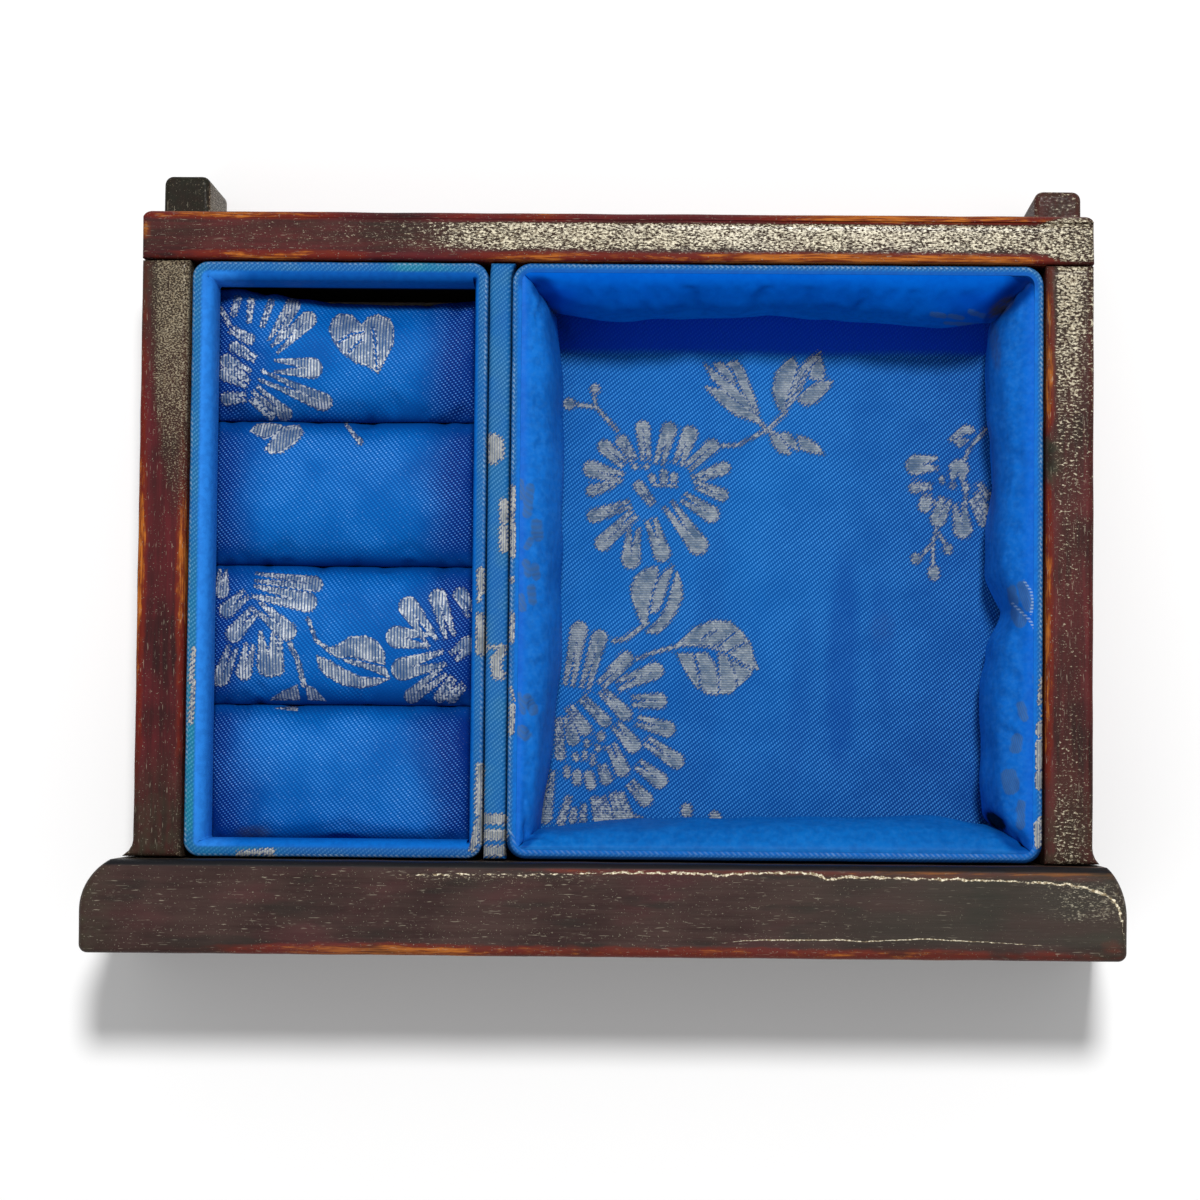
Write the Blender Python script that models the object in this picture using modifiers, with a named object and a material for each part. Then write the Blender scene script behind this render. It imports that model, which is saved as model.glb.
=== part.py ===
"""A small lacquered jewelry chest, open at the top, with two brocade-covered trays that lift out.

Metres, +Z up. X runs along the front board and +Y points to the back. The origin is at the middle
of the bottom of the whole chest. The rim is the top of the side and back boards.
"""

import math

import bmesh
import bpy
from mathutils import Matrix, Vector

# Case: the back board's back face is CASE_DEPTH behind the front board's inner face.
CASE_WIDTH = 0.160
CASE_DEPTH = 0.109
CASE_HEIGHT = 0.036
SIDE_THICKNESS = 0.008
BACK_THICKNESS = 0.0082
EDGE_RADIUS = 0.0009
CORNER_RADIUS = 0.0018
JOINT_GAP = 0.0003

# Tails: the side boards pass under the ends of the back board and stick out behind it.
TAIL_DROP = 0.0185
LEFT_TAIL = 0.0095
RIGHT_TAIL = 0.0078
TAIL_RADIUS = 0.0015

# Front board: it stands above the rim and runs past both side boards in rounded shoulders.
FRONT_THICKNESS = 0.0154
FRONT_RISE = 0.0064
LEFT_OVERHANG = 0.0075
RIGHT_OVERHANG = 0.0048
SHOULDER_DEPTH = 0.0084
FRONT_EDGE_RADIUS = 0.003
FRONT_CORNER_RADIUS = 0.0014
FOOT_CHAMFER = 0.0005

# Flare: each side board widens in a cove where it meets the front board's shoulder.
FLARE_LENGTH = 0.0031
FLARE_SHARE = 0.33
SHOULDER_START_ANGLE = math.radians(30)

# Bottom board: a thin panel held in grooves.
BOTTOM_THICKNESS = 0.0040
BOTTOM_LIFT = 0.0030
GROOVE_DEPTH = 0.0022

# Trays: card walls wrapped in brocade, with a fixed divider strip between the two trays.
RING_TRAY_WIDTH = 0.0499
DIVIDER_WIDTH = 0.0034
TRAY_CLEARANCE = 0.00035
TRAY_DROP = 0.0008
TRAY_BASE_THICKNESS = 0.0012
RING_WALL = 0.0022
RING_TRAY_RADIUS = 0.0026
OPEN_WALL = 0.0016
OPEN_TRAY_RADIUS = 0.0032
WRAP_RADIUS = 0.0005
DIVIDER_RADIUS = 0.0008

# Ring rolls: four padded rolls side by side, each with a crown between deep slots.
ROLL_CROWN_DROP = 0.0080
ROLL_BACK_GAP = 0.0026
ROLL_WIDTH_SHARES = (0.251, 0.257, 0.268, 0.224)
ROLL_SLOT_DROP = 0.0036
ROLL_END_DROP = 0.0026
ROLL_DRAW_IN = 0.0010
ROLL_HEM = 0.0012

# Open tray lining: a loose padded strip on each wall, mitred at the corners, over a floor pad.
FLOOR_PAD_THICKNESS = 0.0015
FLOOR_PAD_RADIUS = 0.0004
LINING_DROP = 0.0005
LINING_TOP = 0.0009
LINING_BULGE = 0.0060
LEFT_BULGE_SHARES = (0.45, 0.74, 0.98, 0.96, 1.00, 0.93, 0.80)
RIGHT_BULGE_SHARES = (1.06, 0.93, 0.78, 0.56, 0.84, 0.88, 0.84)
FRONT_BULGE_SHARES = (0.52, 0.70, 0.80, 0.84, 0.88, 0.90, 0.72)
BACK_BULGE_SHARES = (0.90, 0.98, 0.84, 0.80, 0.88, 1.06, 1.10)
WALL_FOOT_SHARE = 0.90
BACK_FOOT_SHARE = 0.45
WALL_BELLY_SHARE = 0.30
BACK_BELLY_SHARE = 0.52

ARC_STEPS = 6
ROLL_CELLS = (5, 6, 4)
LINING_CELLS = (9, 1, 5)
COVE_STEPS = 4

# Places that follow from the sizes above.
WHOLE_WIDTH = LEFT_OVERHANG + CASE_WIDTH + RIGHT_OVERHANG
WHOLE_DEPTH = FRONT_THICKNESS + CASE_DEPTH + max(LEFT_TAIL, RIGHT_TAIL)
CASE_LEFT = LEFT_OVERHANG - WHOLE_WIDTH / 2
CASE_RIGHT = CASE_LEFT + CASE_WIDTH
FRONT_INNER = FRONT_THICKNESS - WHOLE_DEPTH / 2
BACK_FACE = FRONT_INNER + CASE_DEPTH
BACK_INNER = BACK_FACE - BACK_THICKNESS
WELL_LEFT = CASE_LEFT + SIDE_THICKNESS
WELL_RIGHT = CASE_RIGHT - SIDE_THICKNESS
TAIL_TOP = CASE_HEIGHT - TAIL_DROP
BOTTOM_TOP = BOTTOM_LIFT + BOTTOM_THICKNESS
TRAY_FOOT = BOTTOM_TOP + JOINT_GAP
TRAY_TOP = CASE_HEIGHT - TRAY_DROP
TRAY_FRONT = FRONT_INNER + TRAY_CLEARANCE
TRAY_BACK = BACK_INNER - TRAY_CLEARANCE
RING_TRAY_LEFT = WELL_LEFT + TRAY_CLEARANCE
RING_TRAY_RIGHT = RING_TRAY_LEFT + RING_TRAY_WIDTH
DIVIDER_LEFT = RING_TRAY_RIGHT + TRAY_CLEARANCE
DIVIDER_RIGHT = DIVIDER_LEFT + DIVIDER_WIDTH
OPEN_TRAY_LEFT = DIVIDER_RIGHT + TRAY_CLEARANCE
OPEN_TRAY_RIGHT = WELL_RIGHT - TRAY_CLEARANCE
BASE_TOP = TRAY_FOOT + TRAY_BASE_THICKNESS
FLOOR_TOP = BASE_TOP + JOINT_GAP + FLOOR_PAD_THICKNESS

LACQUER = ((0.060, 0.014, 0.012), 0.34)
BARE_CARD = ((0.42, 0.36, 0.28), 0.85)
BROCADE = ((0.012, 0.115, 0.480), 0.62)


def clear_scene():
    for thing in list(bpy.data.objects):
        bpy.data.objects.remove(thing, do_unlink=True)


def new_collection(name):
    collection = bpy.data.collections.new(name)
    bpy.context.scene.collection.children.link(collection)
    return collection


def add_piece(shape, name, finish):
    """Puts a finished bmesh in the chest's collection, as one named object with its own material."""
    bmesh.ops.recalc_face_normals(shape, faces=shape.faces)
    mesh = bpy.data.meshes.new(name)
    shape.to_mesh(mesh)
    shape.free()
    mesh.shade_smooth()
    mesh.set_sharp_from_angle(angle=math.radians(40))
    colour, roughness = finish
    material = bpy.data.materials.new(name)
    material.use_nodes = True
    shader = material.node_tree.nodes["Principled BSDF"]
    shader.inputs["Base Color"].default_value = (*colour, 1)
    shader.inputs["Roughness"].default_value = roughness
    shader.inputs["Metallic"].default_value = 0
    mesh.materials.append(material)
    piece = bpy.data.objects.new(name, mesh)
    CHEST.objects.link(piece)
    return piece


def add_box(shape, low, high):
    low, high = Vector(low), Vector(high)
    place = Matrix.Translation((low + high) / 2) @ Matrix.Diagonal((*(high - low), 1))
    return bmesh.ops.create_cube(shape, size=1, matrix=place)["verts"]


def cut_box(piece, name, low, high):
    """Cuts a box out of a piece with a Boolean."""
    shape = bmesh.new()
    add_box(shape, low, high)
    mesh = bpy.data.meshes.new(name)
    shape.to_mesh(mesh)
    shape.free()
    cutter = bpy.data.objects.new(name, mesh)
    cutter.hide_render = True
    cutter.display_type = "WIRE"
    CUTTERS.objects.link(cutter)
    modifier = piece.modifiers.new(name, "BOOLEAN")
    modifier.operation = "DIFFERENCE"
    modifier.solver = "EXACT"
    modifier.object = cutter


def round_edges(shape, edges, radius, segments=2):
    bmesh.ops.bevel(
        shape,
        geom=edges,
        offset=radius,
        affect="EDGES",
        segments=segments,
        profile=0.5,
        material=-1,
        clamp_overlap=True,
    )


def sharp_edges(shape, smallest=math.radians(30)):
    return [e for e in shape.edges if e.is_manifold and e.calc_face_angle() > smallest]


def upright_edges(shape):
    return [e for e in shape.edges if abs((e.verts[0].co - e.verts[1].co).normalized().z) > 0.99]


def loft(sections):
    """A closed shape through outlines that have the same number of points."""
    shape = bmesh.new()
    loops = []
    for section in sections:
        corners = [shape.verts.new(point) for point in section]
        pairs = zip(corners, corners[1:] + corners[:1])
        loops.append([shape.edges.new(pair) for pair in pairs])
    for lower, upper in zip(loops, loops[1:]):
        bmesh.ops.bridge_loops(shape, edges=lower + upper)
    bmesh.ops.contextual_create(shape, geom=loops[0])
    bmesh.ops.contextual_create(shape, geom=loops[-1])
    return shape


def ease(share):
    return share * share * (3 - 2 * share)


def along(shares, place):
    """Reads a table of shares at a place from 0 to 1, with smooth steps between its entries."""
    spot = min(max(place, 0.0), 1.0) * (len(shares) - 1)
    first = min(int(spot), len(shares) - 2)
    mix = ease(spot - first)
    return shares[first] * (1 - mix) + shares[first + 1] * mix


def front_outline(inset):
    """The front board in plan, moved in by inset, as points that go round it once."""
    front = FRONT_INNER - FRONT_THICKNESS + inset
    corner = max(FRONT_CORNER_RADIUS - inset, FRONT_CORNER_RADIUS / 8)
    shoulder = SHOULDER_DEPTH / math.cos(SHOULDER_START_ANGLE) - inset
    start = math.acos((SHOULDER_DEPTH - inset) / shoulder)
    ends = (
        (1, CASE_RIGHT, RIGHT_OVERHANG),
        (-1, CASE_LEFT, LEFT_OVERHANG),
    )
    points = []
    for side, case_face, overhang in ends:
        end = case_face + side * (overhang - inset)
        reach = overhang * (1 - FLARE_SHARE) / (1 - math.sin(SHOULDER_START_ANGLE)) - inset
        curve = []
        for step in range(ARC_STEPS + 1):
            turn = start + (math.pi / 2 - start) * step / ARC_STEPS
            x = end - side * reach * (1 - math.sin(turn))
            y = FRONT_INNER - SHOULDER_DEPTH + shoulder * math.cos(turn)
            curve.append((x, y))
        for step in range(ARC_STEPS // 2 + 1):
            turn = math.pi / 2 * step / (ARC_STEPS // 2)
            x = end - side * corner * (1 - math.cos(turn))
            y = front + corner * (1 - math.sin(turn))
            curve.append((x, y))
        points += curve if side > 0 else curve[::-1]
    return points


def make_front_board():
    top = CASE_HEIGHT + FRONT_RISE
    levels = [(0, FOOT_CHAMFER), (FOOT_CHAMFER, 0)]
    for step in range(ARC_STEPS // 2 + 1):
        turn = math.pi / 2 * step / (ARC_STEPS // 2)
        inset = FRONT_EDGE_RADIUS * (1 - math.cos(turn))
        levels.append((top - FRONT_EDGE_RADIUS * (1 - math.sin(turn)), inset))
    sections = [[(x, y, z) for x, y in front_outline(inset)] for z, inset in levels]
    board = add_piece(loft(sections), "front_board", LACQUER)
    cut_groove(board)


def cut_groove(board):
    """The groove for the bottom board. One box reaches into all four boards."""
    low = (WELL_LEFT - GROOVE_DEPTH, FRONT_INNER - GROOVE_DEPTH, BOTTOM_LIFT - JOINT_GAP)
    high = (WELL_RIGHT + GROOVE_DEPTH, BACK_INNER + GROOVE_DEPTH, BOTTOM_TOP + JOINT_GAP)
    cut_box(board, board.name + "_groove", low, high)


def flare_at(y, overhang):
    """How far the cove pushes a side board's outer face out, at a place near its front end."""
    rise = FLARE_LENGTH / math.cos(SHOULDER_START_ANGLE)
    run = overhang * FLARE_SHARE / (1 - math.sin(SHOULDER_START_ANGLE))
    share = min(max((FRONT_INNER + FLARE_LENGTH - y) / rise, 0.0), 1.0)
    return run * (1 - math.sqrt(1 - share * share))


def make_side_board(name, inner, side, tail, overhang):
    """A side board from its outline seen from the side. inner is its inner face, side is -1 or 1."""
    front = FRONT_INNER + JOINT_GAP
    notch = BACK_INNER - JOINT_GAP
    end = BACK_FACE + tail
    outline = [
        (front, 0),
        (end, 0),
        (end, TAIL_TOP),
        (notch, TAIL_TOP),
        (notch, CASE_HEIGHT),
        (front, CASE_HEIGHT),
    ]
    shape = bmesh.new()
    corners = [shape.verts.new((inner, y, z)) for y, z in outline]
    face = shape.faces.new(corners)
    grown = bmesh.ops.extrude_face_region(shape, geom=[face])["geom"]
    moved = [v for v in grown if isinstance(v, bmesh.types.BMVert)]
    bmesh.ops.translate(shape, verts=moved, vec=(side * SIDE_THICKNESS, 0, 0))
    tail_end = [e for e in shape.edges if all(abs(v.co.y - end) < JOINT_GAP for v in e.verts)]
    round_edges(shape, [e for e in tail_end if e in upright_edges(shape)], TAIL_RADIUS, 3)
    for step in range(COVE_STEPS):
        station = FRONT_INNER + FLARE_LENGTH * (step + 1) / COVE_STEPS
        everything = shape.verts[:] + shape.edges[:] + shape.faces[:]
        bmesh.ops.bisect_plane(shape, geom=everything, plane_co=(0, station, 0), plane_no=(0, 1, 0))
    outer = inner + side * SIDE_THICKNESS
    for corner in shape.verts:
        if abs(corner.co.x - outer) < JOINT_GAP:
            corner.co.x += side * flare_at(corner.co.y, overhang)
    bmesh.ops.recalc_face_normals(shape, faces=shape.faces)
    worn = [e for e in sharp_edges(shape) if min(v.co.z for v in e.verts) > BOTTOM_TOP]
    level = [e for e in worn if e not in upright_edges(shape)]
    round_edges(shape, level, EDGE_RADIUS)
    board = add_piece(shape, name, LACQUER)
    cut_groove(board)


def make_back_board():
    """Full width above the side boards' tails, and narrowed to fit between them below."""
    shape = bmesh.new()
    add_box(shape, (CASE_LEFT, BACK_INNER, 0), (CASE_RIGHT, BACK_FACE, CASE_HEIGHT))
    corners = [e for e in upright_edges(shape) if e.verts[0].co.y > BACK_INNER + JOINT_GAP]
    round_edges(shape, corners, CORNER_RADIUS, 3)
    bmesh.ops.recalc_face_normals(shape, faces=shape.faces)
    rim = [e for e in sharp_edges(shape) if min(v.co.z for v in e.verts) > TAIL_TOP]
    round_edges(shape, rim, EDGE_RADIUS)
    board = add_piece(shape, "back_board", LACQUER)
    out = SIDE_THICKNESS
    ends = (
        ("left", CASE_LEFT - out, WELL_LEFT + JOINT_GAP),
        ("right", WELL_RIGHT - JOINT_GAP, CASE_RIGHT + out),
    )
    for label, low, high in ends:
        lower = (low, BACK_INNER - out, -out)
        upper = (high, BACK_FACE + out, TAIL_TOP + JOINT_GAP)
        cut_box(board, "back_notch_" + label, lower, upper)
    cut_groove(board)


def make_bottom_board():
    reach = GROOVE_DEPTH - JOINT_GAP
    shape = bmesh.new()
    low = (WELL_LEFT - reach, FRONT_INNER - reach, BOTTOM_LIFT)
    high = (WELL_RIGHT + reach, BACK_INNER + reach, BOTTOM_TOP)
    add_box(shape, low, high)
    add_piece(shape, "bottom_board", LACQUER)


def make_divider():
    shape = bmesh.new()
    low = (DIVIDER_LEFT, TRAY_FRONT, TRAY_FOOT)
    high = (DIVIDER_RIGHT, TRAY_BACK, TRAY_TOP)
    add_box(shape, low, high)
    top = [e for e in sharp_edges(shape) if min(v.co.z for v in e.verts) > BOTTOM_TOP + JOINT_GAP]
    round_edges(shape, top, DIVIDER_RADIUS, 3)
    add_piece(shape, "divider_strip", BROCADE)


def make_tray_walls(name, left, right, radius, wall):
    """A band of card bent round the tray, open above and below, with a soft wrapped rim."""
    shape = bmesh.new()
    add_box(shape, (left, TRAY_FRONT, TRAY_FOOT), (right, TRAY_BACK, TRAY_TOP))
    round_edges(shape, upright_edges(shape), radius, 4)
    caps = [f for f in shape.faces if abs(f.normal.z) > 0.99]
    bmesh.ops.delete(shape, geom=caps, context="FACES_ONLY")
    band = add_piece(shape, name, BROCADE)
    thicken = band.modifiers.new("card", "SOLIDIFY")
    thicken.thickness = wall
    thicken.offset = -1
    thicken.use_even_offset = True
    wrap = band.modifiers.new("wrapped_rim", "BEVEL")
    wrap.width = WRAP_RADIUS
    wrap.segments = 2
    wrap.limit_method = "ANGLE"
    wrap.angle_limit = math.radians(60)


def make_tray_base(name, left, right, radius, wall):
    """The card floor of a tray, glued inside its band of walls."""
    inset = wall + JOINT_GAP
    shape = bmesh.new()
    low = (left + inset, TRAY_FRONT + inset, TRAY_FOOT)
    high = (right - inset, TRAY_BACK - inset, BASE_TOP)
    add_box(shape, low, high)
    round_edges(shape, upright_edges(shape), radius, 3)
    add_piece(shape, name, BARE_CARD)


def soft_block(name, cells, place):
    """A padded piece. place turns shares from 0 to 1 along, across and up into a point."""
    shape = bmesh.new()
    add_box(shape, (0, 0, 0), (1, 1, 1))
    for axis, count in zip("XYZ", cells):
        normal = [1 if axis == letter else 0 for letter in "XYZ"]
        for step in range(1, count):
            spot = [value * step / count for value in normal]
            everything = shape.verts[:] + shape.edges[:] + shape.faces[:]
            bmesh.ops.bisect_plane(shape, geom=everything, plane_co=spot, plane_no=normal)
    for corner in shape.verts:
        corner.co = place(*corner.co)
    piece = add_piece(shape, name, BROCADE)
    piece.data.set_sharp_from_angle(angle=math.pi)
    soften = piece.modifiers.new("soft", "SUBSURF")
    soften.levels = 1
    soften.render_levels = 1


def make_ring_roll(number, front, width):
    """One roll: a crown across and along it, ends that drop, and sides that are drawn in."""
    left = RING_TRAY_LEFT + RING_WALL + JOINT_GAP
    right = RING_TRAY_RIGHT - RING_WALL - JOINT_GAP
    foot = BASE_TOP + JOINT_GAP
    crown = CASE_HEIGHT - ROLL_CROWN_DROP

    def place(along_share, across_share, up_share):
        end = abs(2 * along_share - 1)
        edge = abs(2 * across_share - 1)
        top = crown - ROLL_SLOT_DROP * edge**2.2 - ROLL_END_DROP * end**4
        drawn = ROLL_DRAW_IN * ease(up_share) * (1 - end**2)
        half = width / 2 - drawn * edge - ROLL_HEM * (1 - up_share) ** 4
        x = left + (right - left) * along_share
        y = front + width / 2 + half * (2 * across_share - 1)
        return x, y, foot + (top - foot) * up_share

    soft_block(f"ring_roll_{number}", ROLL_CELLS, place)


def make_ring_rolls():
    """They share the tray's length. Numbered from the back, where the first leaves a dark gap."""
    front = TRAY_FRONT + RING_WALL + JOINT_GAP
    back = TRAY_BACK - RING_WALL - ROLL_BACK_GAP
    room = back - front - JOINT_GAP * (len(ROLL_WIDTH_SHARES) - 1)
    for index, share in enumerate(ROLL_WIDTH_SHARES):
        width = room * share
        make_ring_roll(len(ROLL_WIDTH_SHARES) - index, front, width)
        front += width + JOINT_GAP


def lining_depth(place, up_share, shares, foot_share, belly_share):
    """How far a lining stands off its wall, at a place along it and a height, both from 0 to 1."""
    bulge = LINING_BULGE * along(shares, place)
    if up_share > belly_share:
        climb = (up_share - belly_share) / (1 - belly_share)
        return LINING_TOP + (bulge - LINING_TOP) * math.cos(climb * math.pi / 2) ** 1.3
    fall = (belly_share - up_share) / belly_share
    return bulge * (1 - (1 - foot_share) * ease(fall))


def make_lining(name, corner, run, out, length, shares, foot_share, belly_share):
    """A lining from one corner of the tray, along the wall in direction run, standing out along out."""
    foot = FLOOR_TOP + JOINT_GAP
    top = TRAY_TOP - LINING_DROP

    def place(along_share, out_share, up_share):
        depth = lining_depth(along_share, up_share, shares, foot_share, belly_share)
        off_wall = JOINT_GAP + depth * out_share
        mitre = off_wall + JOINT_GAP
        spot = mitre + (length - 2 * mitre) * along_share
        x, y = (corner[i] + run[i] * spot + out[i] * off_wall for i in (0, 1))
        return x, y, foot + (top - foot) * up_share

    soft_block(name, LINING_CELLS, place)


def make_linings():
    left, right = OPEN_TRAY_LEFT + OPEN_WALL, OPEN_TRAY_RIGHT - OPEN_WALL
    front, back = TRAY_FRONT + OPEN_WALL, TRAY_BACK - OPEN_WALL
    deep, wide = back - front, right - left
    east, west, north, south = (1, 0), (-1, 0), (0, 1), (0, -1)
    wall = (WALL_FOOT_SHARE, WALL_BELLY_SHARE)
    rear = (BACK_FOOT_SHARE, BACK_BELLY_SHARE)
    make_lining("left_lining", (left, front), north, east, deep, LEFT_BULGE_SHARES, *wall)
    make_lining("right_lining", (right, front), north, west, deep, RIGHT_BULGE_SHARES, *wall)
    make_lining("front_lining", (left, front), east, north, wide, FRONT_BULGE_SHARES, *wall)
    make_lining("back_lining", (left, back), east, south, wide, BACK_BULGE_SHARES, *rear)


def make_floor_pad():
    inset = OPEN_WALL + JOINT_GAP
    shape = bmesh.new()
    low = (OPEN_TRAY_LEFT + inset, TRAY_FRONT + inset, BASE_TOP + JOINT_GAP)
    high = (OPEN_TRAY_RIGHT - inset, TRAY_BACK - inset, FLOOR_TOP)
    add_box(shape, low, high)
    round_edges(shape, upright_edges(shape), OPEN_TRAY_RADIUS, 3)
    top = [e for e in sharp_edges(shape) if min(v.co.z for v in e.verts) > BASE_TOP + 2 * JOINT_GAP]
    round_edges(shape, top, FLOOR_PAD_RADIUS)
    add_piece(shape, "floor_pad", BROCADE)


clear_scene()
CHEST = new_collection("jewelry_chest")
CUTTERS = new_collection("cutters")
CUTTERS.hide_render = True
make_front_board()
make_side_board("left_side_board", WELL_LEFT, -1, LEFT_TAIL, LEFT_OVERHANG)
make_side_board("right_side_board", WELL_RIGHT, 1, RIGHT_TAIL, RIGHT_OVERHANG)
make_back_board()
make_bottom_board()
make_divider()
ring_tray = (RING_TRAY_LEFT, RING_TRAY_RIGHT, RING_TRAY_RADIUS, RING_WALL)
open_tray = (OPEN_TRAY_LEFT, OPEN_TRAY_RIGHT, OPEN_TRAY_RADIUS, OPEN_WALL)
make_tray_walls("ring_tray_walls", *ring_tray)
make_tray_base("ring_tray_base", *ring_tray)
make_ring_rolls()
make_tray_walls("open_tray_walls", *open_tray)
make_tray_base("open_tray_base", *open_tray)
make_floor_pad()
make_linings()
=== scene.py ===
# %% [markdown]
# # A small lacquered jewelry chest
#
# The chest is an open wooden case with two trays that lift out. One tray has padded rolls that hold
# rings. The other has a flat brocade floor and loose padded linings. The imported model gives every
# board, card and pad its place. This lesson dresses them: worn lacquer on the wood, and a blue
# brocade with silver flowers on everything soft.

import math

import bmesh
import bpy
import numpy as np
from mathutils import Matrix, Vector, noise


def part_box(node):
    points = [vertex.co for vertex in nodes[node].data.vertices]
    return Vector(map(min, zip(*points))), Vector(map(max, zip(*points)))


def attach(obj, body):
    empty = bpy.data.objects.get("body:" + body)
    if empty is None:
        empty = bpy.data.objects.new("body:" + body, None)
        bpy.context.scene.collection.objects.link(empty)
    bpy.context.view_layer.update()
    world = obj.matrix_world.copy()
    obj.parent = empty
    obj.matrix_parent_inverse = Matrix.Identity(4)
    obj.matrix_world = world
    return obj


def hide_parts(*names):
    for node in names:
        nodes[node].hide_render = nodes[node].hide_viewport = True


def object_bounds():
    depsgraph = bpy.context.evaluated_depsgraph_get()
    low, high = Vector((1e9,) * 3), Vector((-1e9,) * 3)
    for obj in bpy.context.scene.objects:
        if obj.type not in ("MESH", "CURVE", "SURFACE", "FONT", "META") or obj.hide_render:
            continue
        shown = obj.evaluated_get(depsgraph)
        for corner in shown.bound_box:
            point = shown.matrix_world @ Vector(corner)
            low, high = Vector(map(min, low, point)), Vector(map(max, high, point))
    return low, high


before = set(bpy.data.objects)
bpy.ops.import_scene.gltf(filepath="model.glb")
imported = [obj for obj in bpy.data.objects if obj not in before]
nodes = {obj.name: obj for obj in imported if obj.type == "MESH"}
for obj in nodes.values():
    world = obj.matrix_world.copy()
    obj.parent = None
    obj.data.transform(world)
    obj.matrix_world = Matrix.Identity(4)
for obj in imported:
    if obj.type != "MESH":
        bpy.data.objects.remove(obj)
cad_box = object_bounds()
print("boards, cards and pads:", len(nodes))

# %% [markdown]
# ## Millimetres
#
# The chest is small, so its sizes read best in millimetres, while Blender works in metres. One name
# for a millimetre keeps both clear.

# %% Sizes that the boards share
MM = 0.001
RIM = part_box("back_board")[1].z
FRONT_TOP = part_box("front_board")[1].z
CASE_LEFT, CASE_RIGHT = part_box("back_board")[0].x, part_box("back_board")[1].x
WELL_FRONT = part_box("front_board")[1].y
WELL_BACK, BACK_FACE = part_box("back_board")[0].y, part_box("back_board")[1].y
TAIL_TOP = RIM - 18.5 * MM
print("rim height in mm:", round(RIM / MM, 2))

# %% [markdown]
# ## The camera
#
# The photograph looks almost straight down from about half a metre, a little to the right of the
# middle. A long lens flattens the chest, and a small shift puts it where it is in the picture.
# `seen_at` follows a point along its line of sight to the picture, and tells at which pixel it lands.
# The silver flowers of the cloth are drawn at those pixels later.

# %% Place the camera
EYE = Vector((17.6, -36.4, 516)) * MM
TILT = (math.radians(-2.52), math.radians(-0.62), math.radians(-0.47))
FOCAL, MIDDLE_X, MIDDLE_Y, PICTURE = 2879.7, 680.0, 645.0, 1200


def eye_turn():
    """The rotation from the chest's axes to the camera's."""
    pitch = Matrix.Rotation(TILT[0], 3, "X")
    roll = Matrix.Rotation(TILT[1], 3, "Y")
    swing = Matrix.Rotation(TILT[2], 3, "Z")
    return swing @ roll @ pitch


def place_camera():
    lens = bpy.data.cameras.new("camera")
    lens.sensor_width = 36
    lens.lens = FOCAL / PICTURE * 36
    lens.shift_x = (PICTURE / 2 - MIDDLE_X) / PICTURE
    lens.shift_y = (MIDDLE_Y - PICTURE / 2) / PICTURE
    lens.clip_start = 0.01
    camera = bpy.data.objects.new("camera", lens)
    camera.matrix_world = Matrix.Translation(EYE) @ eye_turn().transposed().to_4x4()
    bpy.context.scene.collection.objects.link(camera)
    bpy.context.scene.camera = camera


def seen_at(points):
    """The picture's pixels, across and down, at which points of the chest are seen."""
    turned = (np.asarray(points, float) - np.array(EYE)) @ np.array(eye_turn()).T
    across = MIDDLE_X + FOCAL * turned[:, 0] / -turned[:, 2]
    down = MIDDLE_Y - FOCAL * turned[:, 1] / -turned[:, 2]
    return across, down


place_camera()
print("rim's middle lands at", [round(float(a[0])) for a in seen_at([(0, 0, RIM)])])

# %% [markdown]
# ## Light and floor
#
# A large soft lamp behind the chest is the key light, so the linings throw short shadows to the
# front. A pale sky fills the rest. The floor is plain and nearly white, and keeps the soft shadow of
# the chest.

# %% Light the chest
KEY_POWER = 3.6
SKY_STRENGTH = 0.38


def add_lamp(name, place, size, power, aim=(0, 0, 0.02)):
    lamp = bpy.data.lights.new(name, "AREA")
    lamp.shape = "DISK"
    lamp.size = size
    lamp.energy = power
    holder = bpy.data.objects.new(name, lamp)
    way = Vector(place) - Vector(aim)
    holder.matrix_world = Matrix.Translation(place) @ way.to_track_quat("Z", "Y").to_matrix().to_4x4()
    bpy.context.scene.collection.objects.link(holder)


def light_scene():
    add_lamp("key_light", (0.07, 0.33, 0.89), 0.13, KEY_POWER * 2.0)
    add_lamp("fill_light", (-0.35, -0.65, 0.75), 0.9, KEY_POWER * 0.4)
    world = bpy.data.worlds.new("sky")
    bpy.context.scene.world = world
    world.use_nodes = True
    sky = world.node_tree.nodes["Background"]
    sky.inputs["Color"].default_value = (1, 1, 1, 1)
    sky.inputs["Strength"].default_value = SKY_STRENGTH
    bpy.context.scene.view_settings.view_transform = "Standard"


light_scene()

# %% [markdown]
# ## Writing materials as sums
#
# A material is a small program made of nodes. `Wire` stands for what comes out of a node, and writing
# a sum with it adds the Math node that works the sum out. `Finish` is a material: its method `node`
# adds any other kind of node, and the short names below it are the ones that this chest needs often.

# %% Wires and finishes


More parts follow.
